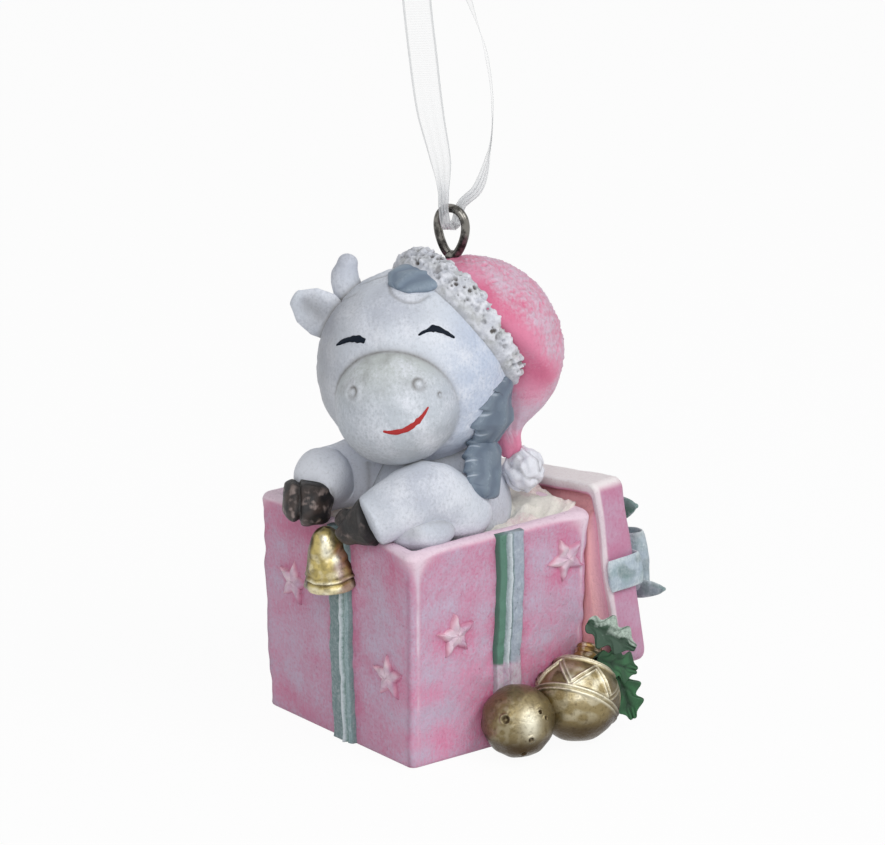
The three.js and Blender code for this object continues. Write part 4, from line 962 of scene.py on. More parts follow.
class ORNAMENT_OT_bands(bpy.types.Operator):
    """Relief ribbons on the box: a ridged profile carried up each face"""

    bl_idname = "ornament.bands"
    bl_label = "Relief ribbons"

    def execute(self, context):
        box, at = context.scene.ornament_box, Layout(context.scene)
        half = box.band / MM / 2
        material = painted("band_paint", box.frost, (0.16, 0.30, 0.24), speck=0.5, bump=0.25)
        u = np.linspace(-1, 1, 56)
        up = np.linspace(0.25, at.rim - 0.15, 150)[:, None]
        wander = 0.12 * np.sin(up * 0.33 + 1) + 0.06 * np.sin(up * 0.9)
        across = np.concatenate([u, u[::-1]])[None]
        for node, (face, place) in BANDS.items():
            ridge = -0.15 if face == "right" else 0.28
            height = 0.75 * (1 - np.abs(u) ** 14) ** 0.5 + 0.32 * bell_curve(u - ridge, 0.11)
            for shift, depth in ((0.2, 0.30), (-0.2, 0.26)):
                height = height - depth * bell_curve(u - ridge + shift, 0.07)
            upper = np.stack(np.broadcast_arrays(u * half + wander, up, height), -1)
            upper[..., 2] += 0.05 * lumps(upper, 2.2, 21) * (height > 0.2)
            under = np.stack(np.broadcast_arrays(u[::-1] * half + wander, up, -0.5), -1)
            p = placed(np.concatenate([upper, under], 1), *at.on_face(face, place, 0))
            tint, rub = self.paint(box, face, spread(across - ridge, p), p)
            crease = spread(0.35 * (np.abs(across) > 0.9), p)
            skin("relief_" + node, p, material, node, tint=tint, rub=rub, wash=crease)
        return {"FINISHED"}

    def paint(self, box, face, off, p):
        """Grey-green ground, dark grooves beside the ridge, and pink spray at the foot of the right band.
        Off is the place across the band, counted from its ridge."""
        right = face == "right"
        groove = bell_curve(off + 0.2, 0.08) + bell_curve(off - 0.2, 0.08)
        left = ease(-0.22, -0.34, off) * right
        # Painted shade: the left half of the front band is darker.
        front_band_shade = 0.34 * ease(-0.2, -0.34, off) * (face == "front")
        ground = linear((0.64, 0.68, 0.74) if right else box.teal) * (1 - front_band_shade)[..., None]
        tint = coat(ground, box.green, np.clip(0.6 * groove + 0.9 * left, 0, 1))
        tint = coat(tint, box.frost, 0.9 * bell_curve(off, 0.16 if right else 0.1))
        rub = np.clip(0.3 + 0.5 * bell_curve(off, 0.13) - 0.3 * left, 0, 1)
        if right:
            spray = ease(11.6, 10.6, p[..., 2] + 0.4 * lumps(p, 2, 22))
            tint = coat(tint, (0.83, 0.68, 0.78), spray)
            rub = lerp(rub, 0.5, spray)
        return tint, rub


class ORNAMENT_OT_stars(bpy.types.Operator):
    """Relief stars: a five-pointed outline in polar form, with a rounded rim and a ridge to each point"""

    bl_idname = "ornament.stars"
    bl_label = "Relief stars"

    def execute(self, context):
        box, at = context.scene.ornament_box, Layout(context.scene)
        big, step = box.star / MM, np.pi / 5
        material = painted("star_paint", (0.86, 0.78, 0.85), (0.70, 0.36, 0.48), bump=0.3)
        turn = circle(160)[None]
        wedge = np.abs((turn - np.pi / 2 + step) % (2 * step) - step) / step
        straight = 1 / (np.cos(wedge * step) + 2.3 * np.sin(wedge * step))
        outline = big * (0.84 * straight + 0.16 * (1 - 0.5 * wedge ** 2))
        share = np.concatenate([np.linspace(1.02, 1.0, 3), np.linspace(0.98, 0.02, 26)])[:, None]
        radius = outline * share
        slope = np.sqrt(np.clip(1 - share ** 2.2, 0, 1))
        dome = 0.34 * slope + 0.42 * slope * (1 - wedge * 0.75) * (0.55 + 0.45 * share)
        dome[:2] = [[-0.4], [-0.1]]
        upright = np.stack([radius * np.cos(turn), radius * np.sin(turn), dome], -1)
        base = np.stack([0.05 * np.cos(turn), 0.05 * np.sin(turn), np.full_like(turn, -0.4)], -1)
        rim = np.concatenate([np.ones((1, 160)), spread(ease(0.6, 1.0, share), radius)])
        for seed, (node, (face, place, height, lean)) in enumerate(STARS.items(), 30):
            cosine, sine = np.cos(np.radians(lean)), np.sin(np.radians(lean))
            local = upright @ np.array([[cosine, sine, 0], [-sine, cosine, 0], [0, 0, 1]])
            worn = 0.13 * lumps(local, 1.5, seed)[..., None] * (0.6, 0.6, 1)
            local = np.concatenate([base, local + worn * (local[..., 2:] > 0)])
            p = placed(local, *at.on_face(face, place, height))
            lit = (0.4 * local[..., 1] - local[..., 0]) / big + 0.3 * lumps(p, 1.4, 36)
            tint = coat(linear((0.78, 0.62, 0.72)), (0.93, 0.84, 0.88), ease(-0.9, 0.7, lit))
            tint = coat(tint, box.hot, 0.35 * rim)
            fields = {"tint": tint, "rub": 0.4 - 0.3 * rim, "wash": 0.4 * rim ** 3}
            skin("relief_" + node, p, material, node, **fields)
        return {"FINISHED"}


# Lid and bow

class ORNAMENT_OT_lid(bpy.types.Operator):
    """Lid that leans on the box's back: rounded rectangles stacked through its thickness, hollow inside"""

    bl_idname = "ornament.lid"
    bl_label = "Lid"

    def execute(self, context):
        box, at = context.scene.ornament_box, Layout(context.scene)
        width, thick, tall = at.lid_size
        turn = np.linspace(0, np.pi / 2, 8)
        side = np.linspace(0.6, thick - 1.1, 22)
        front = 0.5 - 0.5 * np.sin(turn)
        depth = np.concatenate([np.full(7, 1.3), front, side, thick - 1 + np.sin(turn), [thick]])
        floor = [11, 9, 7, 5, 3.5, 2.4, 1.7]
        lip = 1.5 - 0.5 * (1 - np.cos(turn)) - 0.9 * np.sin(turn)
        inset = np.concatenate([floor, lip, np.zeros(22), 1 - np.cos(turn), [9]])
        corner = np.clip(1.3 - 0.3 * inset, 0.3, 1.3)
        flat = rounded_rectangles(width / 2 - inset, tall / 2 - inset, corner, depth)
        local = np.stack([flat[..., 0] - width / 2, flat[..., 2], flat[..., 1] - tall / 2], -1)
        inset, depth = inset[:, None], depth[:, None]
        low = ease(-3.0, -5.0, local[..., 2]) * (inset > 1.6) * (depth < 2)
        local[..., 1] = lerp(local[..., 1], 0.079 * local[..., 2] - 0.2, low)
        p = at.on_lid(local)
        p = p + 0.10 * lumps(p, 7, 41)[..., None] * at.lid_y
        rimmed = ease(0.95, 0.5, local[..., 1]) * (inset < 1.25)
        groove = spread((inset >= 1.25) & (inset < 1.6) & (depth < 0.7), p)
        top = ease(-1.4, -0.2, local[..., 2]) * (inset < 1.6)
        inner = spread((inset > 1.4) & (depth < 2), p).astype(float)
        # Over the pink: mauve outside the recess; pale salmon in the recess and pale pink in the groove by
        # the rim, painted light that lifts their shade; a pale rim face; the top edge near white, rubbed
        # paint and painted light.
        tint = coat(linear(box.pink), box.hot, patchy(p, 6, 42, 0.30, 0.3))
        for display, share in (((0.69, 0.49, 0.60), 0.55 * (1 - inner)), ((1.0, 0.76, 0.77), 0.95 * inner),
                               ((0.97, 0.72, 0.82), 0.9 * groove), ((0.96, 0.92, 0.94), 0.9 * rimmed),
                               ((1.0, 0.98, 0.98), 0.97 * top)):
            tint = coat(tint, display, share)
        rub = 0.5 - 0.3 * rimmed - 0.5 * inner - 0.5 * groove - 0.5 * top + 0.15 * lumps(p, 4, 43)
        material = painted("lid_paint", (0.79, 0.64, 0.74), (0.62, 0.28, 0.40), speck=0.3, bump=0.4)
        skin("lid_shell", p, material, "lid", tint=tint, rub=np.clip(rub, 0, 0.9), wash=0.05 * inner)
        return {"FINISHED"}


def strap(path, across, half, thick, sides=40):
    """Flat band with round edges: an oval section, wide along a direction, carried along a path. Returns its
    points and a mask of its edges."""
    line = np.asarray(path, float)
    way = tangents(line)
    x = np.broadcast_to(np.asarray(across, float), line.shape)
    x = unit(x - np.sum(x * way, -1, keepdims=True) * way)
    half = np.broadcast_to(half, len(line))
    high = np.full(len(line), thick / 2)
    p, _, turn = rounded_rows(line, x, np.cross(way, x), half, high, 6, sides)
    return p, spread(np.abs(np.cos(turn)) ** 6, p)


class ORNAMENT_OT_bow(bpy.types.Operator):
    """Ribbon and bow on the lid: flat bands carried along straight, looped and curved paths"""

    bl_idname = "ornament.bow"
    bl_label = "Bow"

    def execute(self, context):
        box, at = context.scene.ornament_box, Layout(context.scene)
        width, thick, tall = at.lid_size
        half, face = box.band / MM / 2, thick + 0.55
        over = [(0.5, 0.25), (0.6, thick - 1), (0.2, face - 0.25), (-1.2, face)]
        right = [(x, y, -tall / 2) for x, y in over]
        left = [(-width - x, y, -tall / 2) for x, y in over[::-1]]
        across = right + [(-width / 2, face, -tall / 2)] + left
        steps = ((face - 0.2, -0.9), (face, -1.8), (face, 1.8 - tall), (face - 0.2, 0.9 - tall))
        upright = [(-width / 2, y, z) for y, z in steps]
        bands = [strap(at.on_lid(spline(across, 140)), at.lid_z, half, 0.75),
                 strap(at.on_lid(spline(upright, 70)), at.lid_x, half, 0.75)]
        self.finish(context, "lid_band", bands, ["lid_ribbon"])
        self.finish(context, "bow_knot_form", [self.knot(at)], ["bow_knot"])
        for node, swing in (("bow_loop_right", -3), ("bow_loop_left", 184)):
            self.finish(context, node + "_form", [self.loop(at, np.radians(swing))], [node])
        for node, tip, wide, green in (("bow_tail_upper", (11.6, 3.2, 6.3), 2.4, 0.75),
                                       ("bow_tail_lower", (14.4, 3.6, -4.2), 1.8, 0.3)):
            self.finish(context, node + "_form", [self.tail(at, tip, wide)], [node], green)
        return {"FINISHED"}

    def loop(self, at, swing):
        """Drop-shaped path out of the knot and back."""
        t = np.linspace(0.06, 0.94, 60) * 2 * np.pi
        x = 6.6 - 5.4 * np.cos(t)
        y = 2.9 - 1.9 * np.sin(t) * (0.35 + 0.65 * (x - 1.2) / 10.8)
        path = np.stack([x * np.cos(swing), y, x * np.sin(swing)], -1)
        wide = placed(np.array([-np.sin(swing), 0, np.cos(swing)]), at.lid_x, at.lid_y, at.lid_z, 0)
        return strap(at.on_bow(path), wide, 1.5 + 2.3 * np.sin(t / 2) ** 0.7, 0.9)

    def knot(self, at):
        way = rays((0, 0, 1), (1, 0, 0), 40, 60)
        fold = 1 + 0.07 * np.cos(5 * np.arctan2(way[..., 1], way[..., 0]))[..., None]
        p = at.on_bow(np.array([0, 2.9, 0]) + way * np.array([2.1, 2.9, 2.6]) * fold)
        return p, 0.5 + 0.5 * np.abs(way[..., 2])

    def tail(self, at, tip, wide):
        """Flat end of ribbon, curved from the knot to its tip."""
        tip = np.array(tip)
        start = np.array([0.8, 0.6, np.sign(tip[2]) * 1.6])
        middle = tip * np.array([0.5, 0.1, 0.95])
        t = np.linspace(0, 1, 40)[:, None]
        path = start * (1 - t) ** 2 + 2 * middle * t * (1 - t) + tip * t ** 2
        cross = unit(np.cross(tangents(path), (0, 1.0, 0)))
        half = wide * np.sqrt(np.clip(1.02 - t[:, 0] ** 3, 0, 1))
        return strap(at.on_bow(path), placed(cross, at.lid_x, at.lid_y, at.lid_z, 0), half, 0.7, 36)

    def finish(self, context, name, forms, nodes, green=0.1):
        """Grey-green paint with rubbed edges and dark green in the folds."""
        box = context.scene.ornament_box
        patches = []
        for p, edge in forms:
            p = p + 0.025 * lumps(p, 2.0, 51)[..., None]
            tint = coat(linear((0.68, 0.74, 0.79)), box.green, patchy(p, 3, 52, green, 0.2, 0.85))
            rub = np.clip(0.4 - 0.4 * green + 0.4 * edge + 0.1 * lumps(p, 2, 53), 0, 0.9)
            crease = np.clip(0.3 * ease(0.2, 1.0, lumps(p, 2.4, 54)), 0, 0.6)
            patches.append(patch(p, tips=(True, True), tint=tint, rub=rub, wash=crease))
        material = painted("bow_paint", box.frost, (0.14, 0.28, 0.20), speck=0.3, bump=0.2)
        make(name, patches, material, nodes)


# Bull

def white_fields(context, p, crease, bright=0.35):
    """Tint, rub and crease fields of the bull's white paint."""
    bull = context.scene.ornament_bull
    tint = coat(linear(bull.white), (0.78, 0.80, 0.85), patchy(p, 9, 61, 0.3, 0.4))
    return {"tint": tint, "rub": patchy(p, 5, 62, bright, 0.15), "wash": np.clip(crease, 0, 1)}


def white_paint(context):
    bull = context.scene.ornament_bull
    return painted("bull_white", bull.bright, bull.wash, speck=0.18, bump=0.4, specular=0.4)


def white_skin(context, name, p, crease, node, bright=0.35):
    """Piece in the bull's white paint, in place of a node's solid."""
    skin(name, p, white_paint(context), node, **white_fields(context, p, crease, bright))


# Incised lines on the forehead: points ahead, to the left and up from the head's middle
INCISIONS = (
    ((3.6, 0.2, 11.4), (5.3, 0.8, 10.7), (6.1, 1.8, 10.1),
     (6.4, 3.0, 9.7), (6.0, 4.3, 9.5), (4.7, 5.2, 9.7)),
    ((0.8, -8.8, 8.2), (1.5, -7.4, 9.3), (2.7, -5.7, 10.2), (3.1, -4.6, 10.6)),
    ((0.6, -4.6, 11.0), (1.2, -3.2, 11.5), (1.4, -1.6, 11.8), (1.2, -0.6, 11.9)),
    ((0.2, -8.1, 9.4), (-0.4, -7.0, 10.0)),
)

# Nostrils and a dimple beside them: place, size, depth, and the side that lies in shade
PITS = (
    ((14.89, -3.35, 1.52), 0.95, 0.45, 0.6),
    ((13.8, 4.91, 1.27), 1.0, 0.5, -0.8),
    ((12.34, 6.73, -0.74), 0.45, 0.2, -0.4),
)

# Strokes of face paint: points to the left and up from the head's middle, and half widths
EYES = (
    (((-6.28, 5.9), (-5.31, 6.35), (-3.86, 6.66), (-2.91, 6.62), (-2.15, 6.42)),
     (0.18, 0.32, 0.42, 0.43, 0.32)),
    (((4.59, 6.15), (5.36, 6.42), (6.21, 6.4), (7.24, 5.75), (8.23, 4.8)),
     (0.14, 0.35, 0.43, 0.34, 0.15)),
)
SMILE = (
    (((0.36, -3.16), (1.35, -3.48), (2.82, -3.48), (4.03, -3.01), (4.95, -2.34), (5.61, -1.56)),
     (0.14, 0.29, 0.38, 0.36, 0.26, 0.10)),
)


class ORNAMENT_OT_head(bpy.types.Operator):
    """Head and muzzle in one skin: rays from the middle meet a ball and an egg joined by a small fillet"""

    bl_idname = "ornament.head"
    bl_label = "Head"

    def execute(self, context):
        at = Layout(context.scene)
        way = rays(at.forward, np.array([0, 0, 1.0]), 230, 380)
        p = wrap(at.head, way, at.skull_gap, 22)
        step = at.head_gap(p) - at.muzzle_gap(p)
        on_muzzle = ease(-0.3, 0.3, step)
        rise = unit(p - at.muzzle) @ at.up
        snout = on_muzzle * ease(0.15, 1.0, rise)
        crease = np.exp(-np.abs(step + 0.1) / 0.28) * (0.35 + 0.6 * ease(-0.25, 0.75, rise))
        crease = deepest(crease, snout * patchy(p, 3, 65, 0.08, 0.3, 0.5))
        for place, size, depth, shade in PITS:
            spot = at.on_face_of_head(*place)
            away = norm(p - spot)
            dark = ease(-0.5, 0.9, unit(p - spot + 1e-9) @ unit(shade * at.left + 0.6 * at.up))
            lip = 0.14 * bell_curve(away - 1.25 * size, 0.35)
            p = p - way * (depth * bell_curve(away, 0.75 * size) - lip)[..., None]
            crease = deepest(crease, (0.4 + 0.6 * dark) * bell_curve(away - 0.7 * size, 0.3 * size))
        for line in INCISIONS:
            cut = bell_curve(line_gap(p, spline([at.on_face_of_head(*q) for q in line], 60)), 0.24)
            p = p - way * (0.16 * cut)[..., None]
            crease = deepest(crease, 0.5 * cut)
        p = p + way * (0.05 * lumps(p, 4, 63) + 0.02 * lumps(p, 1.3, 64))[..., None]
        # Painted shade: darker on the side of the face away from the key lamp, under the muzzle, and where
        # the hat's roll and the arms meet the head.
        aside = ease(0.25, 0.95, -way @ at.level)
        under = ease(0.0, -0.8, unit(p - at.muzzle) @ at.up) * on_muzzle
        crease = deepest(crease, 0.7 * touch(at.brim_gap(p), 0.35), 0.7 * touch(at.arm_gap(p), 0.4),
                         0.39 * aside + 0.40 * under)
        fields = white_fields(context, p, crease, 0.38)
        for display, share in (((0.68, 0.75, 0.87), 0.6 * ease(0.3, 0.95, way @ at.level)),
                               ((0.75, 0.78, 0.81), 0.7 * on_muzzle), ((0.80, 0.825, 0.815), 0.9 * snout)):
            fields["tint"] = coat(fields["tint"], display, share)
        make("head_skin", [patch(p, tips=(True, True), **fields)], white_paint(context), ["head", "muzzle"])
        return {"FINISHED"}


class ORNAMENT_OT_face(bpy.types.Operator):
    """Painted eyes and smile: thin tapered strokes laid on the head's skin"""

    bl_idname = "ornament.face"
    bl_label = "Face paint"

    def execute(self, context):
        bull, at = context.scene.ornament_bull, Layout(context.scene)
        for name, strokes, paint in (("eye_strokes", EYES, bull.lash), ("smile_stroke", SMILE, bull.lip)):
            patches = [self.stroke(at, *stroke, paint, 70 + k) for k, stroke in enumerate(strokes)]
            lighter = tuple(min(1, c + 0.04) for c in paint)
            material = painted(name + "_paint", lighter, paint, bump=0.1, specular=0.12)
            make(name, patches, material)
        return {"FINISHED"}

    def stroke(self, at, line, widths, paint, seed):
        """Low dome of paint whose half width follows a list along the line."""
        count, lift, thick = 70, 0.02, 0.09
        flat = spline([(left, up, 0) for left, up in line], count)
        left, up = flat[:, :1], flat[:, 1:2]
        ahead = np.full(count, 25.0)
        for _ in range(60):
            ahead = ahead - 0.8 * at.skull_gap(at.on_face_of_head(ahead[:, None], left, up))
        q = at.on_face_of_head(ahead[:, None], left, up)
        normal = unit(np.stack([at.skull_gap(q + 0.02 * d) for d in np.eye(3)], -1))
        way = tangents(q)
        x = unit(np.cross(normal, way))
        half = along(widths, count) * (1 + 0.12 * lumps(q, 0.8, seed))
        high = np.full(count, thick)
        p, _, _ = rounded_rows(q + lift * normal, x, np.cross(way, x), half, high, 6, 24)
        return patch(p, tips=(True, True), tint=even(p, linear(paint)), rub=even(p, 0.1), wash=even(p, 0.0))


class ORNAMENT_OT_ear(bpy.types.Operator):
    """Ear and horn: a flat limb with a hollow along its front, and a short blunt limb"""

    bl_idname = "ornament.ear"
    bl_label = "Ear and horn"

    def execute(self, context):
        at = Layout(context.scene)
        root = at.head + at.toward(0.13, -0.88, 0.46) * (at.head_radius - 1)
        way = at.toward(0.1, -0.86, 0.5)
        path = [root + way * 6.2 * s for s in (0, 0.3, 0.65, 0.92)]
        p, share, turn = limb(path, [2.7, 3.1, 2.6, 1.2], 60, 72, 0.32, at.forward)
        share = share[:, None]
        front = ease(0.1, 0.8, np.sin(turn)) * ease(0.05, 0.3, share) * ease(1.0, 0.7, share)
        hollow = front * bell_curve(np.cos(turn), 0.62)
        p = p + at.forward * (0.05 * lumps(p, 2, 81) - 0.7 * hollow)[..., None]
        # Darker in the hollow, and as painted shade where the ear meets the head.
        crease = deepest(0.4 * hollow, 0.8 * touch(at.head_gap(p), 0.5))
        white_skin(context, "ear_form", p, crease, "ear")
        root = at.head + at.toward(-0.05, -0.73, 0.69) * (at.head_radius - 0.6)
        tip = root + at.toward(-0.12, -0.15, 1) * 4
        path = [root, lerp(root, tip, 0.5) - 0.5 * at.level, tip]
        p, _, _ = limb(path, [1.85, 1.8, 1.35], 40, 48, 1, at.forward)
        p = p + 0.05 * lumps(p, 2, 82)[..., None] * at.level
        # Darker as painted shade where the horn meets the head.
        white_skin(context, "horn_form", p, 0.9 * touch(at.head_gap(p), 0.5), "horn")
        return {"FINISHED"}


class ORNAMENT_OT_hair(bpy.types.Operator):
    """Forelock and mane: flat limbs with grooves between the strands and pale margins"""

    bl_idname = "ornament.hair"
    bl_label = "Hair"

    def execute(self, context):
        at = Layout(context.scene)
        root = at.head + at.toward(-0.05, 0.17, 0.985) * at.head_radius
        end = at.head + at.toward(0.36, -0.05, 0.93) * at.head_radius
        tip = root + unit(end - root) * 5.6
        fringe = [lerp(root, tip, s) + np.array([0, 0, 0.8 * s * (1 - s)]) for s in (0, 0.4, 0.75, 1)]
        upper = np.array([(10, 6.2, -1), (10.4, 4.6, -3), (10.5, 4, -5.2), (9.6, 4, -7.8)])
        lower = np.array([(9.4, 3.8, -8.4), (11.3, 1.8, -10.4), (12.9, 0.6, -12.8)])
        upper, lower = at.head + upper * at.head_radius / 12, at.head + lower * at.head_radius / 12
        self.lock(context, at, "forelock", fringe, [2.5, 3.7, 3.4, 2.0], 0.30, (0.1, -0.1, 1), 0.0)
        self.lock(context, at, "mane_upper", upper, [1.7, 3.0, 3.3, 1.9], 0.42, (0.93, 0.12, -0.2), 1.0)
        self.lock(context, at, "mane_lower", lower, [2.3, 2.8, 2.3], 0.42, (0.85, 0.12, 0.45), 0.6)
        return {"FINISHED"}

    def lock(self, context, at, node, path, radii, flat, face, feather):
        """One lock: strands run along it, feathered tips stand out on the side toward the face, and white
        paint shows between them."""
        bull = context.scene.ornament_bull
        p, share, turn = limb(path, radii, 100, 96, flat, face)
        share, cosine, out = share[:, None], np.cos(turn), unit(face)
        away = unit(np.cross(out, path[-1] - path[0]))
        tip = (4 * share + 0.1) % 1.0
        p = p - away * (feather * ease(0.1, -0.9, cosine) * tip ** 1.5)[..., None]
        strand = np.sin(7 * cosine + 2.2 * share + 0.9 * lumps(p, 3, 90))
        p = p + out * (0.09 * strand * np.abs(np.sin(turn)))[..., None]
        slant = (4 * share + 0.1 + 0.3 * cosine) % 1.0
        line = bell_curve(np.minimum(slant, 1 - slant), 0.05) * ease(-0.5, -0.9, cosine)
        white = 0.8 * line * (feather > 0)
        tone = 0.84 if feather else 1.13
        tint = coat(linear(bull.grey), (0.43, 0.49, 0.57), np.clip(0.3 - 0.3 * strand, 0, 1)) * tone
        tint = coat(tint, (0.83, 0.86, 0.90), white)
        rub = np.clip(0.10 + 0.16 * strand + 0.5 * white, 0, 0.8)
        # Darker in the grooves between the strands, and as painted shade where the lock meets the head.
        crease = np.clip(0.5 * touch(at.head_gap(p), 0.2) + 0.25 * ease(-0.4, -0.9, strand), 0, 1)
        material = painted("hair_paint", (0.68, 0.73, 0.79), (0.33, 0.38, 0.45), bump=0.15, specular=0.45)
        skin(node + "_form", p, material, node, tint=tint, rub=rub, wash=crease)


class ORNAMENT_OT_body(bpy.types.Operator):
    """Body and arms: a turned form and two limbs that meet it"""

    bl_idname = "ornament.body"
    bl_label = "Body and arms"

    def execute(self, context):
        at = Layout(context.scene)
        rim, r, middle = at.rim, 9.2, np.array([1, 1.2, 0])
        profile = [(0.02, rim - 3.9), (r - 1.4, rim - 3.8), (r - 0.3, rim - 2.6), (r, rim - 1),
                   (r - 0.25, rim + 1.5), (r - 1.2, rim + 4), (r - 2.7, rim + 6.5), (5.6, rim + 9),
                   (5, rim + 11.8), (0.02, rim + 12)]
        p = lathe(profile, 120, 150)[0] + middle
        p = p + 0.08 * lumps(p, 5, 101)[..., None] * unit(p - middle - (0, 0, rim + 4))
        # Darker as painted shade where the arms and head meet the body and along the box's rim.
        crease = deepest(0.75 * touch(at.arm_gap(p), 0.35), 0.75 * touch(at.head_gap(p), 0.6),
                         0.5 * touch(np.abs(p[..., 2] - rim + 1.6), 0.4))
        patches = [patch(p, tips=(True, True), **white_fields(context, p, crease))]
        way = rays((0, 0, 1), (1, 0, 0), 60, 90)
        p = np.array([10.0, -8.4, rim + 1.4]) + way * (4.5, 4.4, 3.4)
        fold = norm(p - (12.5, -11.8, rim + 1.9))
        # The knee: darker as painted shade where it meets the arms and the rim, and in a grey patch on its
        # front.
        crease = deepest(0.5 * touch(np.abs(at.arm_gap(p)), 0.35), 0.4 * touch(np.abs(p[..., 2] - rim), 0.3),
                         0.4 * bell_curve(fold, 1.4))
        patches.append(patch(p, tips=(True, True), **white_fields(context, p, crease)))
        make("body_form", patches, white_paint(context), ["body"])
        # The right arm gets far more pale dry brush than the left: painted light that keeps it pale in the
        # head's shade.
        self.arm(context, at, "right_arm", at.right_arm, at.right_radii, at.right_hoof, 1, 1.1)
        self.arm(context, at, "left_arm", at.left_arm, at.left_radii, at.left_hoof, 0.3, 0.42)
        return {"FINISHED"}

    def arm(self, context, at, node, path, radii, hoof, dome, bright):
        """Limb from the shoulder to the cuff of a hoof."""
        p, _, _ = limb(path, radii, 80, 96, ends=18, dome=(1, dome))
        p = p + 0.10 * lumps(p, 4.5, 102)[..., None] * unit(p - path[1])
        face = np.minimum(at.head_gap(p), at.muzzle_gap(p))
        rim_gap = np.abs(p[..., 2] - at.rim) + 3 * (p[..., 1] < at.front - 0.5)
        chest = np.hypot(p[..., 0] - 1, p[..., 1] - 1.2) - 9.0
        cuff = chain_gap(p, hoof, [at.hoof_radius, at.hoof_radius])
        below = ease(-0.6, 0.2, (p - hoof[0]) @ unit(hoof[1] - hoof[0]))
        # Darker as painted shade under the head and muzzle, on the box's rim and against the chest, and in a
        # dark line at the hoof's cuff.
        crease = deepest(0.75 * touch(face, 0.35), 0.5 * touch(rim_gap, 0.3),
                         0.5 * touch(np.abs(chest), 0.35) * (p[..., 2] < at.rim + 6),
                         0.6 * below * touch(np.abs(cuff), 0.25))
        white_skin(context, node + "_form", p, crease, node, bright)


class ORNAMENT_OT_hooves(bpy.types.Operator):
    """Cloven hooves: blunt limbs with an upright groove round them and a fold at the cuff"""

    bl_idname = "ornament.hooves"
    bl_label = "Hooves"

    def execute(self, context):
        bull, at = context.scene.ornament_bull, Layout(context.scene)
        material = painted("hoof_brown", bull.bronze, (0.07, 0.06, 0.06), bump=0.35, specular=0.5)
        for node, line, radii, dome, side, shift in (
                ("right_hoof", at.right_hoof, (0.97, 0.92), 0.6, (0.55, 0.83, 0), 1.1),
                ("left_hoof", at.left_hoof, (0.96, 0.74), 1.0, (0.65, 0.52, -0.55), 1.75)):
            p, _, _ = limb(line, at.hoof_radius * np.array(radii), 50, 110, ends=24, dome=(0.3, dome))
            middle = lerp(line[0], line[1], 0.5)
            across = (p - line[1]) @ unit(side) + shift
            split = bell_curve(across, 0.3)
            p = p - unit(p - middle) * (0.6 * split - 0.08 * lumps(p, 2, 111))[..., None]
            down = (p - line[0]) @ unit(line[1] - line[0])
            cuff = deepest(touch(down + 0.2, 0.4), touch(at.arm_gap(p), 0.4))
            crease = np.clip(0.95 * split + 0.9 * cuff, 0, 1)
            tint = coat(linear(bull.hoof_paint), (0.27, 0.22, 0.20), patchy(p, 2.5, 112, 0.4, 0.5))
            edge = bell_curve(np.abs(across) - 0.7, 0.22) + bell_curve(down - 0.7, 0.22)
            worn = 0.2 * lumps(p, 0.7, 113) + 0.34 * lumps(p, 1.7, 115)
            rub = np.clip(0.04 + worn + 0.45 * edge * patchy(p, 2, 114, 0.5, 1), 0, 0.8)
            skin(node + "_form", p, material, node, tint=tint, rub=rub, wash=crease)
        return {"FINISHED"}


# Hat

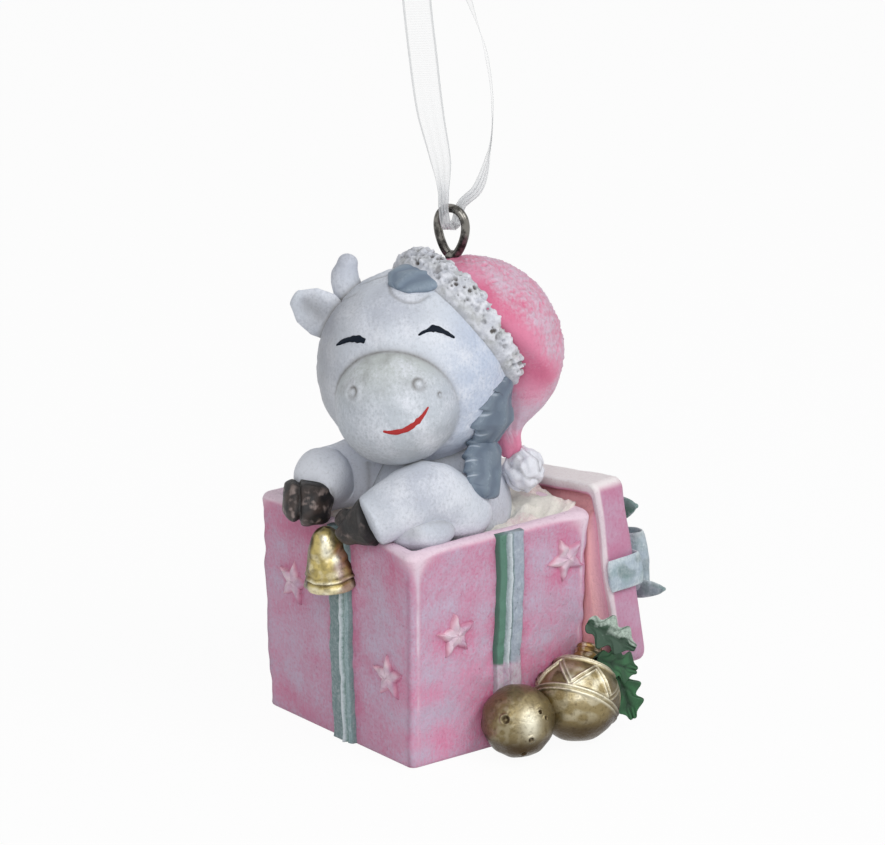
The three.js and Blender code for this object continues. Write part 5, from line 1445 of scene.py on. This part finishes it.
class ORNAMENT_OT_hat(bpy.types.Operator):
    """Bobble hat: a pitted roll, a crown whose tail is joined by a fillet, and a swirled bobble"""

    bl_idname = "ornament.hat"
    bl_label = "Hat"

    def execute(self, context):
        hat, at = context.scene.ornament_hat, Layout(context.scene)
        fur = painted("fur_cream", (0.93, 0.94, 0.97), hat.pit, bump=0.3)
        self.brim(hat, at, fur)
        self.crown(hat, at)
        self.bobble(hat, at, fur)
        return {"FINISHED"}

    def brim(self, hat, at, material):
        """Ring of oval section; pits are cut at scattered points of its outer side."""
        turn, lap = circle(420)[:, None, None], circle(130)[None, :, None]
        cosine, sine = np.cos(lap), np.sin(lap)
        radial = np.cos(turn) * at.hat_x + np.sin(turn) * at.hat_y
        normal = unit(cosine * radial / at.roll[0] + sine * at.hat_z / at.roll[1])
        p = at.brim + at.brim_radius * radial + at.roll[0] * cosine * radial + at.roll[1] * sine * at.hat_z
        rng = np.random.default_rng(121)
        fur = ease(-0.5, -0.15, sine)[..., 0] * ease(-0.9, -0.5, cosine)[..., 0]
        spots = p.reshape(-1, 3)[rng.integers(0, p.shape[0] * p.shape[1], 2200)]
        big = dimples(p, spots[:640], rng.uniform(0.3, 0.62, 640))
        small = dimples(p, spots[640:], rng.uniform(0.2, 0.36, 1560))
        pit = np.clip(1.7 * big + 0.9 * small, 0, 1) * fur
        bump = 0.12 * lumps(p, 1.5, 122) + 0.08 * lumps(p, 0.8, 123)
        p = p + normal * (bump * (0.2 + 0.8 * fur) - 0.36 * ease(0, 0.9, pit))[..., None]
        tint = coat(linear(hat.fur), (0.755, 0.765, 0.77), patchy(p, 3, 124, 0.4, 0.5))
        # Dark in the pits, and as painted shade where the roll meets the head.
        crease = ease(0.2, 0.8, pit) * np.clip(0.85 + 0.6 * lumps(p, 4, 125), 0.35, 1)
        crease = deepest(crease, 0.4 * touch(at.head_gap(p), 0.5))
        rub = np.clip(0.5 + 0.3 * bump / 0.2, 0, 1)
        ring = patch(p, loop_rows=True, tint=tint, rub=rub, wash=crease)
        make("brim_fur", [ring], material, ["hat_brim"])

    def crown(self, hat, at):
        """Skin over the ball and its tail, with shallow pits toward the back and soft folds down the tail."""
        way = rays(unit(at.tail[-1] - at.crown), at.hat_z, 250, 300)
        p = wrap(at.crown, way, at.crown_gap, 20)
        away = p - at.tail[15]
        fold = np.sin(7 * np.arctan2(away @ at.hat_x, away @ np.array([0.8, 0.6, 0])))
        below = p[..., 2] - at.crown[2]
        droop = ease(-2.5, -8.5, below)
        pitted = ease(1.5, 5.5, (p - at.brim) @ at.hat_z) * (1 - droop)
        pale = droop * ease(-11.5, -9, below)
        rough = 0.06 * lumps(p, 1.1, 131) + 0.05 * lumps(p, 0.7, 132)
        p = p + way * (0.12 * lumps(p, 6, 133) + pitted * rough + 0.15 * droop * fold)[..., None]
        tint = coat(linear(hat.pink), (0.87, 0.38, 0.54), 0.6 * patchy(p, 6, 134, 0.5, 0.5))
        tint = coat(tint, (0.89, 0.70, 0.79), 0.8 * pale)
        rub = 0.18 + 0.46 * pitted + 0.7 * pale + 0.11 * lumps(p, 5, 135) + 1.6 * pitted * rough
        # Darker in the folds down the tail, and as painted shade beside the fur roll.
        crease = 0.6 * touch(at.brim_gap(p), 0.5) + 0.3 * droop * ease(-0.3, -1, fold)
        material = painted("hat_paint", hat.rubbed, (0.66, 0.30, 0.42), speck=0.25, bump=0.35)
        fields = {"tint": tint, "rub": np.clip(rub, 0, 0.85), "wash": np.clip(crease, 0, 0.8)}
        skin("crown_cloth", p, material, "hat_crown", **fields)

    def bobble(self, hat, at, material):
        """Ball with swirled grooves."""
        way = rays((0.5, -0.4, 0.75), (0, 0, 1), 110, 150)
        turn = np.arctan2(way[..., 1], way[..., 0])
        swirl = np.sin(4 * turn + 6 * way[..., 2] + 1.2 * lumps(way, 0.9, 141))
        radius = at.bobble_radius * (1 + 0.045 * swirl + 0.04 * lumps(way, 0.5, 142))
        p = at.bobble + way * (1, 1, 1.1) * radius[..., None]
        tint, crease = even(p, linear(hat.fur)), 0.3 * ease(-0.7, -0.98, swirl)
        skin("bobble_fur", p, material, "hat_bobble", tint=tint, rub=0.95 + 0.2 * swirl, wash=crease)


# Bell, baubles and holly

# Direction of the baubles' darker edge: a painted dark reflection
DARK_REFLECTION_SIDE = np.array([0.62, 0.79, 0])

# Cast bubbles of the small bauble: direction from its middle, and size
BUBBLES = (
    ((0.47, -0.81, 0.36), 0.6),
    ((0.86, -0.27, -0.18), 0.42),
    ((0.68, -0.35, -0.62), 0.36),
    ((0.80, 0.06, 0.45), 0.34),
    ((0.90, 0.2, 0.3), 0.3),
)


def gilt_fields(gilt, base, bright, dull, wash):
    """Tint and wash fields of gold paint: polished where it is bright and brown where it is dull."""
    tint = coat(linear(base), gilt.polish_and_highlight, np.clip(bright, 0, 1))
    tint = coat(tint, gilt.patina_and_shade, np.clip(dull, 0, 1))
    return {"tint": tint, "wash": np.clip(wash, 0, 1)}


class ORNAMENT_OT_bell(bpy.types.Operator):
    """Bell: a turned profile with a ring groove above its lip, a little uneven from the casting"""

    bl_idname = "ornament.bell"
    bl_label = "Bell"

    def execute(self, context):
        gilt, at = context.scene.ornament_gilt, Layout(context.scene)
        r, h = at.bell_radius, at.bell_height
        lip = 1.3 - h
        profile = [(0.02, -h), (r - 0.6, -h), (r - 0.1, 0.25 - h), (r, 0.7 - h), (r - 0.2, lip - 0.1),
                   (r - 0.36, lip + 0.1), (r - 0.2, lip + 0.35), (r - 0.38, lip + 0.7), (r - 0.55, -5.1),
                   (r - 0.8, -3.9), (r - 1.12, -2.8), (r - 1.42, -1.9), (r - 1.9, -0.9), (r - 2.45, -0.3),
                   (0.02, 0)]
        local, turn = lathe(profile, 170, 120)
        local[..., :2] *= (1 + 0.04 * lumps(local, 2.0, 151))[..., None]
        p = placed(local, np.array([1.0, 0, 0]), at.bell_y, at.bell_z, at.bell)
        z = local[..., 2]
        wall = p[..., 1] - (at.front + at.lean(p[..., 2]))
        # Darker in the grooves above the lip, and as painted shade where the bell meets the box's wall.
        crease = 0.45 * bell_curve(z - lip - 0.1, 0.16) + 0.4 * bell_curve(z - lip - 0.8, 0.2)
        crease = crease + 0.9 * touch(-wall, 0.5)
        # Paler gold: two upright streaks as painted highlights, scattered flecks, the lip and the ridge above
        # it. Darker toward the two outer sides: painted dark reflections.
        low = ease(-2.5, -3.4, z) * ease(-6.3, -5.4, z)
        high = ease(-3.6, -2.6, z) * ease(-0.3, -0.9, z)
        turn = np.degrees((turn + np.pi) % (2 * np.pi) - np.pi)
        bright = bell_curve(turn + 12, 12) * low + bell_curve(turn + 41, 16) * high
        bright = bright + 0.28 * ease(-0.2, 0.9, lumps(p, 1.3, 152)) + 0.4 * ease(lip, lip - 0.4, z)
        bright = bright + 0.6 * bell_curve(z - lip - 0.38, 0.18)
        side = ease(0.72, 0.97, np.abs(np.sin(np.radians(turn + 38))))
        dull = 0.75 * side + 0.3 * ease(0.1, 0.8, lumps(p, 1.8, 153))
        fields = gilt_fields(gilt, gilt.gold, bright, dull, crease)
        skin("bell_form", p, gilded("bell_gilt", gilt.patina_and_shade), "bell", **fields)
        return {"FINISHED"}


class ORNAMENT_OT_baubles(bpy.types.Operator):
    """Baubles: balls with raised rings and a zigzag, with a cap, and with cast bubbles"""

    bl_idname = "ornament.baubles"
    bl_label = "Baubles"

    def execute(self, context):
        gilt, at = context.scene.ornament_gilt, Layout(context.scene)
        material = gilded("bauble_gilt", gilt.patina_and_shade)
        self.large(gilt, at, material)
        self.cap(gilt, at, material)
        self.small(gilt, at, material)
        return {"FINISHED"}

    def large(self, gilt, at, material):
        """Ball with two pairs of rings and a double zigzag in the sunk band between them."""
        x, y, z = at.bauble_axes
        latitude = np.linspace(-89.3, 89.3, 230)[:, None]
        turn = circle(380)[None]
        wave = np.abs(((turn * 6 / np.pi + 1.965) % 2) - 1)
        sunk = ease(-5, -2, latitude) * ease(42, 39, latitude)
        zigzag = sum(bell_curve(latitude - low - 38 * wave, 2.6) for low in (2, -7))
        rings = sum(bell_curve(latitude - line, 1.7) for line in (49, 43, -6, -12))
        relief = np.maximum(rings, 0.9 * zigzag * sunk)
        radius = at.large_radius + 0.26 * relief - 0.08 * sunk
        flat = np.radians(latitude)
        parts = (np.cos(flat) * np.cos(turn), np.cos(flat) * np.sin(turn), np.sin(flat))
        local = np.stack(np.broadcast_arrays(*parts), -1)
        p = at.large + placed(local * radius[..., None], x, y, z, 0)
        p = p + local @ np.array([x, y, z]) * (0.05 * lumps(p, 3, 161))[..., None]
        # Dark patches in the sunk band, and painted shade where the ball meets the box's wall.
        crease = np.clip(0.5 * sunk * (1 - relief) * patchy(p, 4, 162, 0.2, 0.8), 0, 1)
        crease = deepest(crease, 0.8 * touch(p[..., 0] - at.half_x, 0.4))
        # Paler on the raised relief, with painted highlights: flecks on the side facing the camera and a soft
        # spot. Darker underneath and toward the right edge: painted shade and dark reflections.
        way = unit(p - at.large)
        fleck = ease(-0.5, 0.9, lumps(p, 1.6, 165)) * ease(0.5, 0.95, way @ unit((0.7, -0.6, 0.45)))
        bright = 0.7 * np.clip(relief, 0, 1) + (0.28 + 0.35 * sunk) * fleck
        bright = bright + 0.2 * bell_curve(norm(way - unit((0.74, -0.42, 0.52))), 0.3)
        dull = 0.9 * ease(0.0, -0.5, way[..., 2]) + 0.55 * ease(0.55, 0.95, way @ DARK_REFLECTION_SIDE)
        fields = gilt_fields(gilt, gilt.brass, bright, dull, crease)
        skin("large_bauble_form", p, material, "large_bauble", **fields)

    def cap(self, gilt, at, material):
        """Ribbed cap on top of the large ball."""
        r = at.large_radius
        profile = [(0.02, r * 0.9), (1.75, r * 0.9), (1.8, r + 0.2), (1.62, r + 0.5), (1.78, r + 0.85),
                   (1.6, r + 1.15), (1.65, r + 1.5), (1.2, r + 1.85), (0.02, r + 1.9)]
        p = at.large + placed(lathe(profile, 70, 60)[0], *at.bauble_axes, 0)
        bright = 0.5 * ease(0.2, 0.8, lumps(p, 1.4, 166))
        crease = 0.6 * ease(0.1, 0.9, lumps(p, 1.2, 163))
        fields = gilt_fields(gilt, (0.62, 0.50, 0.30), bright, even(p, 0.0), crease)
        skin("bauble_cap_form", p, material, "bauble_cap", **fields)

    def small(self, gilt, at, material):
        """Ball with a few burst bubbles."""
        way = rays((0.75, -0.58, 0.32), (0, 0, 1), 170, 240)
        p = at.small + way * at.small_radius
        crease = np.zeros(p.shape[:2])
        for spot, size in BUBBLES:
            away = norm(p - at.small - at.small_radius * unit(spot))
            rise = 0.16 * bell_curve(away - size, 0.16) - 0.22 * bell_curve(away, 0.6 * size)
            p = p + way * rise[..., None]
            crease = deepest(crease, 0.85 * bell_curve(away - 0.5 * size, 0.35 * size))
        p = p + way * (0.05 * lumps(p, 2.5, 164))[..., None]
        # Painted shade where the ball meets the box's wall.
        crease = deepest(crease, 0.8 * touch(p[..., 0] - at.half_x, 0.4))
        # Painted highlights: a faint sheen on the side facing the camera and an upright gleam. Darker
        # underneath and toward the right edge: painted shade and dark reflections.
        facing = ease(0.45, 0.9, way @ unit((0.7, -0.68, 0.2)))
        gleam = norm((way - unit((0.9, -0.28, 0.25))) * (1, 1, 0.6))
        bright = deepest(0.13 * facing * ease(-0.6, 0.9, lumps(p, 1.1, 167)), 0.9 * bell_curve(gleam, 0.26))
        dull = 0.95 * ease(-0.05, -0.5, way[..., 2]) + 0.35 * ease(0.6, 0.95, way @ DARK_REFLECTION_SIDE)
        fields = gilt_fields(gilt, 0.88 * np.array(gilt.brass), bright, dull, crease)
        skin("small_bauble_form", p, material, "small_bauble", **fields)


class ORNAMENT_OT_holly(bpy.types.Operator):
    """Holly leaves: a flat section with scalloped width along a bent midrib, grooved along its veins"""

    bl_idname = "ornament.holly"
    bl_label = "Holly"

    def execute(self, context):
        gilt, at = context.scene.ornament_gilt, Layout(context.scene)
        t, turn = np.linspace(0.02, 0.98, 90)[:, None], circle(60)
        u, lift = np.cos(turn), np.sin(turn)
        width = 2.4 * np.sin(np.pi * t ** 0.9) ** 0.6 * (0.78 + 0.22 * np.cos(2 * np.pi * (3 * t - 0.15)))
        vein = bell_curve(u, 0.1) + 0.7 * bell_curve(np.sin(3 * np.pi * (t - 0.35 * np.abs(u))), 0.22)
        vein = vein * (lift > 0)
        high = 0.45 * lift + 0.5 * u ** 2 - 0.22 * vein - 0.8 * (t - 0.4) ** 2
        local = np.stack(np.broadcast_arrays(width * u, 7 * t, high), -1)
        for node, root, way, normal, frosted in (
                ("leaf_upper", (-0.9, 2.2, 9.2), (0.72, 0.55, -0.42), (0.7, -0.5, 0.5), True),
                ("leaf_middle", (0.9, 2.2, 5.0), (0.05, 0.9, -0.42), (0.8, -0.45, 0.4), False),
                ("leaf_lower", (0.1, 6.1, 2.5), (0.2, 0.25, -0.95), (0.8, -0.5, 0.35), False)):
            way, normal = unit(way), np.array(normal)
            normal = unit(normal - (normal @ way) * way)
            p = placed(local, np.cross(normal, way), way, normal, at.large + np.array(root))
            tint, rub, dry = self.paint(gilt, p, u, frosted)
            material = painted(node + "_paint", dry, (0.07, 0.20, 0.12), bump=0.2, specular=0.5)
            skin(node + "_form", p, material, node, tint=tint, rub=rub, wash=np.clip(0.9 * vein, 0, 1))
        return {"FINISHED"}

    def paint(self, gilt, p, u, frosted):
        """Tint, rub and dry-brushed colour: uneven green, or frost that is worn off on one side."""
        if frosted:
            worn = ease(-0.2, 0.4, 0.3 * lumps(p, 1.6, 172) - u)
            return even(p, linear(gilt.frosted)), np.clip(0.62 - 0.9 * worn, 0, 1), (0.78, 0.85, 0.80)
        tint = coat(linear(gilt.leaf), (0.20, 0.42, 0.26), patchy(p, 2, 171, 0.4, 0.5))
        return tint, even(p, 0.1), (0.35, 0.52, 0.38)


# Hanger

class ORNAMENT_OT_eye(bpy.types.Operator):
    """Wire eye: a round section carried round a drop-shaped loop, on a straight shank"""

    bl_idname = "ornament.eye"
    bl_label = "Wire eye"

    def execute(self, context):
        hanger, at = context.scene.ornament_hanger, Layout(context.scene)
        wire, wide, tall = hanger.wire / MM, hanger.eye_width / MM, hanger.eye_height / MM
        sweep = np.linspace(-np.pi / 2, 1.5 * np.pi, 150)
        narrow = 0.76 + 0.24 * np.sin(sweep)
        apart = 0.35 * bell_curve(np.minimum(sweep + np.pi / 2, 1.5 * np.pi - sweep), 0.5)
        across = (wide / 2 - wire) * np.cos(sweep) * narrow * 1.16
        rise = lerp(-0.4, tall - wire, 0.5 + 0.5 * np.sin(sweep))
        loop = np.stack([across, np.linspace(-1, 1, 150) * apart, rise], -1)
        shank = [(0, 0, -3 + 0.04 * k) for k in range(66)]
        thick = 0.78 + 0.05 * np.sin(np.arange(66) * 0.9)
        patches = []
        for path, radius, ends in ((loop, np.full(150, wire), 6), (shank, thick, 5)):
            line = at.on_eye(path)
            x, y, _ = axes_along(tangents(line), at.eye_y)
            p, _, _ = rounded_rows(line, x, y, radius, radius, ends, 26)
            patches.append(patch(p, tips=(True, True)))
        make("wire_loop", patches, nickel("wire_nickel", hanger.nickel), ["wire_eye"])
        return {"FINISHED"}


# Places of each strand across the eye, along its axis and above its middle, where it leaves the eye
RIBBON_START = {
    "front": ((0.05, 0, -0.15), (0, -1.01, 0.15), (-0.15, -1.6, 2.3)),
    "back": ((0.05, 0, -0.15), (0.1, 1.01, 0.15), (0.5, 1.6, 2.3)),
}

# Further up: the same, with the height as a share of the loop's, the share of the width and the twist
RIBBON_RISE = {
    "front": (
        (0, -1.9, 0.11, 0.4, 0), (-0.2, -2.3, 0.2, 0.72, 0), (-1.5, -2.6, 0.34, 0.9, 0),
        (-2.6, -2.5, 0.5, 0.97, 0), (-3.9, -1.9, 0.68, 1, 0), (-4.4, -1.2, 0.87, 0.9, 0),
        (-4.6, -0.5, 0.948, 0.35, 0),
    ),
    "back": (
        (2.3, 2.4, 0.1, 0.45, -20), (3.7, 2.8, 0.21, 0.75, -60), (4, 3, 0.34, 0.95, -66),
        (3.3, 2.6, 0.49, 1, -62), (0.7, 2, 0.67, 1, -40), (-1.8, 1.3, 0.85, 0.9, -15),
        (-4.4, 0.5, 0.948, 0.35, 0),
    ),
}


def ribbon_route(at, hanger, side):
    """Stations of one strand from the eye to the knot: place, half width and twist."""
    middle, loop, half = at.eye_middle, hanger.loop / MM, hanger.ribbon / MM / 2
    rows = [(x, y, middle + rise, 0.65, 0) for x, y, rise in RIBBON_START[side]]
    for x, y, share, width, twist in RIBBON_RISE[side]:
        rows.append((x, y, middle + share * loop, width * half, twist))
    return np.array(rows, float)


class ORNAMENT_OT_ribbon(bpy.types.Operator):
    """Hanging ribbon: two strands and a knot. A pleated section is carried along each strand's path"""

    bl_idname = "ornament.ribbon"
    bl_label = "Hanging ribbon"

    def execute(self, context):
        hanger, at = context.scene.ornament_hanger, Layout(context.scene)
        material = organza("ribbon_organza", hanger.organza)
        knot = self.knot(hanger, at, material)
        for side in ("front", "back"):
            rows = ribbon_route(at, hanger, side)
            line = at.on_eye(spline(rows[:, :3], 120))
            half, twist = along(rows[:, 3], 120), np.radians(along(rows[:, 4], 120))[:, None]
            way = tangents(line)
            flat = unit(at.eye_x - (way @ at.eye_x)[:, None] * way)
            x = np.cos(twist) * flat + np.sin(twist) * np.cross(way, flat)
            u = np.linspace(-1, 1, 60)
            gather = np.clip(1 - half / (hanger.ribbon / MM / 2), 0, 1)[:, None]
            pleat = (0.16 + 0.3 * gather) * np.sin(3.2 * np.pi * u + 0.8) * gather ** 0.7
            wave = 0.10 * np.sin(np.linspace(0, 14, 120))[:, None] * u
            cover = np.clip(0.05 + 0.95 * gather ** 2, 0, 0.92)
            form = self.strip(line, x, np.cross(way, x), half, u, pleat + wave, cover)
            strand = make("ribbon_" + side, [form], material, ["hanging_ribbon"], "hanging_loop")
        return {"FINISHED"}

    def strip(self, line, x, y, half, u, rise, cover):
        """Thin closed band: the section's upper side, then its lower side back."""
        middle = line[:, None] + (half[:, None] * u)[..., None] * x[:, None]
        upper = middle + (rise + 0.03)[..., None] * y[:, None]
        lower = middle + (rise - 0.03)[..., None] * y[:, None]
        p = np.concatenate([upper, lower[:, ::-1]], 1)
        way = np.linspace(0, 1, len(line))[:, None]
        fields = {"across": spread(np.concatenate([u, u[::-1]]), p), "way": spread(way, p)}
        return patch(p, tips=(True, True), gather=spread(cover, p), **fields)

    def knot(self, hanger, at, material):
        """Tight wrap with two short ends."""
        middle = np.array([-4.6, 0, at.eye_middle + hanger.loop / MM])
        way = rays((0, 0, 1), (1, 0, 0), 50, 80)
        fold = 1 + 0.08 * np.sin(12 * way[..., 2] + 2 * np.arctan2(way[..., 1], way[..., 0]))[..., None]
        ball = at.on_eye(middle + way * (1.95, 1.5, 1.7) * fold)
        covers = {"across": even(ball, 0.0), "way": even(ball, 0.0), "gather": even(ball, 0.85)}
        patches = [patch(ball, tips=(True, True), **covers)]
        u, t = np.linspace(-1, 1, 40), np.linspace(0, 1, 40)
        half = hanger.ribbon / MM / 2 * (0.4 + 0.6 * t)
        rise = 0.2 * np.sin(4 * u) * (1 - 0.5 * t)[:, None]
        cover = (0.08 + 0.6 * (1 - t) ** 2)[:, None]
        for lean in (1, -1):
            line = at.on_eye(middle + np.stack([lean * 4 * t, lean * 0.8 * t, 8 * t], -1))
            flat = placed(unit((1, 0, -lean * 0.5)), at.eye_x, at.eye_y, np.array([0, 0, 1.0]), 0)
            x = np.broadcast_to(flat, line.shape)
            patches.append(self.strip(line, x, np.cross(tangents(line), x), half, u, rise, cover))
        return make("ribbon_knot_form", patches, material, ["ribbon_knot"], "hanging_loop")


# Stage

class ORNAMENT_OT_stage(bpy.types.Operator):
    """Camera at the photograph's angle, pale floor, two soft lamps and an even surround"""

    bl_idname = "ornament.stage"
    bl_label = "Stage"

    def execute(self, context):
        stage = context.scene.ornament_stage
        context.scene.view_settings.view_transform = "Standard"
        azimuth, elevation = np.radians(52), np.radians(18.5)
        aside = np.array([np.cos(azimuth), np.sin(azimuth), 0])
        level = np.cos(elevation)
        back = np.array([np.sin(azimuth) * level, -np.cos(azimuth) * level, np.sin(elevation)])
        up = np.cross(back, aside)
        target = np.array([-0.521, 3.256, 37.218])
        camera = bpy.data.cameras.new("camera")
        camera.lens, camera.sensor_width, camera.clip_end = 298.4, 36, 20
        view = bpy.data.objects.new("camera", camera)
        context.scene.camera = self.link(context, view, target + 900 * back, aside, up, back)
        for name, power, size, place in (("key", stage.key, 0.34, 0.62 * aside + 0.54 * up + 0.64 * back),
                                         ("fill", stage.fill, 0.30, -0.08 * aside + 0.22 * up + 0.92 * back)):
            lamp = bpy.data.lights.new(name, "AREA")
            lamp.shape = "DISK"
            lamp.energy, lamp.size = power, size
            z = unit(place)
            x = unit(np.cross((0, 0, 1.0), z))
            self.link(context, bpy.data.objects.new(name, lamp), target + 520 * z, x, np.cross(z, x), z)
        self.surround(context, stage)
        self.floor(context, stage)
        return {"FINISHED"}

    def link(self, context, item, place, x, y, z):
        """Puts an object in the scene with the given axes."""
        matrix = Matrix([[*row] for row in np.stack([x, y, z, place * MM], 1)])
        matrix.resize_4x4()
        item.matrix_world = matrix
        context.scene.collection.objects.link(item)
        return item

    def seen(self, n):
        """Share of rays that see the plain pale backdrop: those from the camera and from shiny things."""
        path = n.add("LightPath").outputs
        seen = n.math("ADD", path["Is Camera Ray"], path["Is Glossy Ray"])
        return n.math("ADD", seen, path["Is Transmission Ray"], True)

    def surround(self, context, stage):
        world = bpy.data.worlds.new("surround")
        context.scene.world = world
        world.use_nodes = True
        n = Nodes(world.node_tree)
        strength = n.span(self.seen(n), 0, 1, stage.sky, 1.0)
        n.link(world.node_tree.nodes["Background"].inputs["Strength"], strength)
        world.node_tree.nodes["Background"].inputs["Color"].default_value = (1, 1, 1, 1)

    def floor(self, context, stage):
        turn = circle(64)
        ring = np.stack([np.cos(turn), np.sin(turn), 0 * turn], -1)
        places = np.vstack([np.zeros((1, 3)), ring * 6])
        index = np.arange(1, 65)
        faces = np.stack([np.zeros(64, int), index, np.roll(index, -1)], -1)
        mesh = bpy.data.meshes.new("floor")
        mesh.from_pydata(places.tolist(), [], faces.tolist())
        material, n, shader = new_material("floor_paint")
        shader.inputs["Base Color"].default_value = four(stage.floor)
        shader.inputs["Roughness"].default_value = 0.9
        shader.inputs["Specular IOR Level"].default_value = 0.0
        glow = n.add("Emission", {"Color": (1, 1, 1, 1), "Strength": 1.0})
        share = n.math("MULTIPLY", self.seen(n), 0.95)
        both = n.add("MixShader", {0: share, 1: shader.outputs[0], 2: glow.outputs[0]})
        n.link(material.node_tree.nodes["Material Output"].inputs["Surface"], both.outputs[0])
        mesh.materials.append(material)
        floor = bpy.data.objects.new("floor", mesh)
        context.scene.collection.objects.link(floor)


# Add-on

OPERATORS = (
    ORNAMENT_OT_stage, ORNAMENT_OT_ribbon, ORNAMENT_OT_eye, ORNAMENT_OT_box, ORNAMENT_OT_tissue,
    ORNAMENT_OT_bands, ORNAMENT_OT_stars, ORNAMENT_OT_lid, ORNAMENT_OT_bow, ORNAMENT_OT_head,
    ORNAMENT_OT_face, ORNAMENT_OT_ear, ORNAMENT_OT_hair, ORNAMENT_OT_body, ORNAMENT_OT_hooves,
    ORNAMENT_OT_hat, ORNAMENT_OT_bell, ORNAMENT_OT_baubles, ORNAMENT_OT_holly,
)


class ORNAMENT_PT_panel(bpy.types.Panel):
    """Sidebar panel with the settings and the pieces."""

    bl_idname = "ORNAMENT_PT_panel"
    bl_label = "Bull ornament"
    bl_space_type = "VIEW_3D"
    bl_region_type = "UI"
    bl_category = "Ornament"

    def draw(self, context):
        for name, settings in SETTINGS.items():
            column = self.layout.column(heading=settings.__doc__)
            for key in settings.__annotations__:
                column.prop(getattr(context.scene, name), key)
        for operator in OPERATORS:
            self.layout.operator(operator.bl_idname)


CLASSES = (*SETTINGS.values(), *OPERATORS, ORNAMENT_PT_panel)


def register():
    for item in CLASSES:
        bpy.utils.register_class(item)
    for name, settings in SETTINGS.items():
        setattr(bpy.types.Scene, name, PointerProperty(type=settings))


def unregister():
    for name in SETTINGS:
        delattr(bpy.types.Scene, name)
    for item in reversed(CLASSES):
        bpy.utils.unregister_class(item)


def main():
    """Registers the add-on, makes the pieces in order, and writes the two boxes."""
    register()
    for operator in OPERATORS:
        space, name = operator.bl_idname.split(".")
        getattr(getattr(bpy.ops, space), name)()


if __name__ == "__main__":
    main()
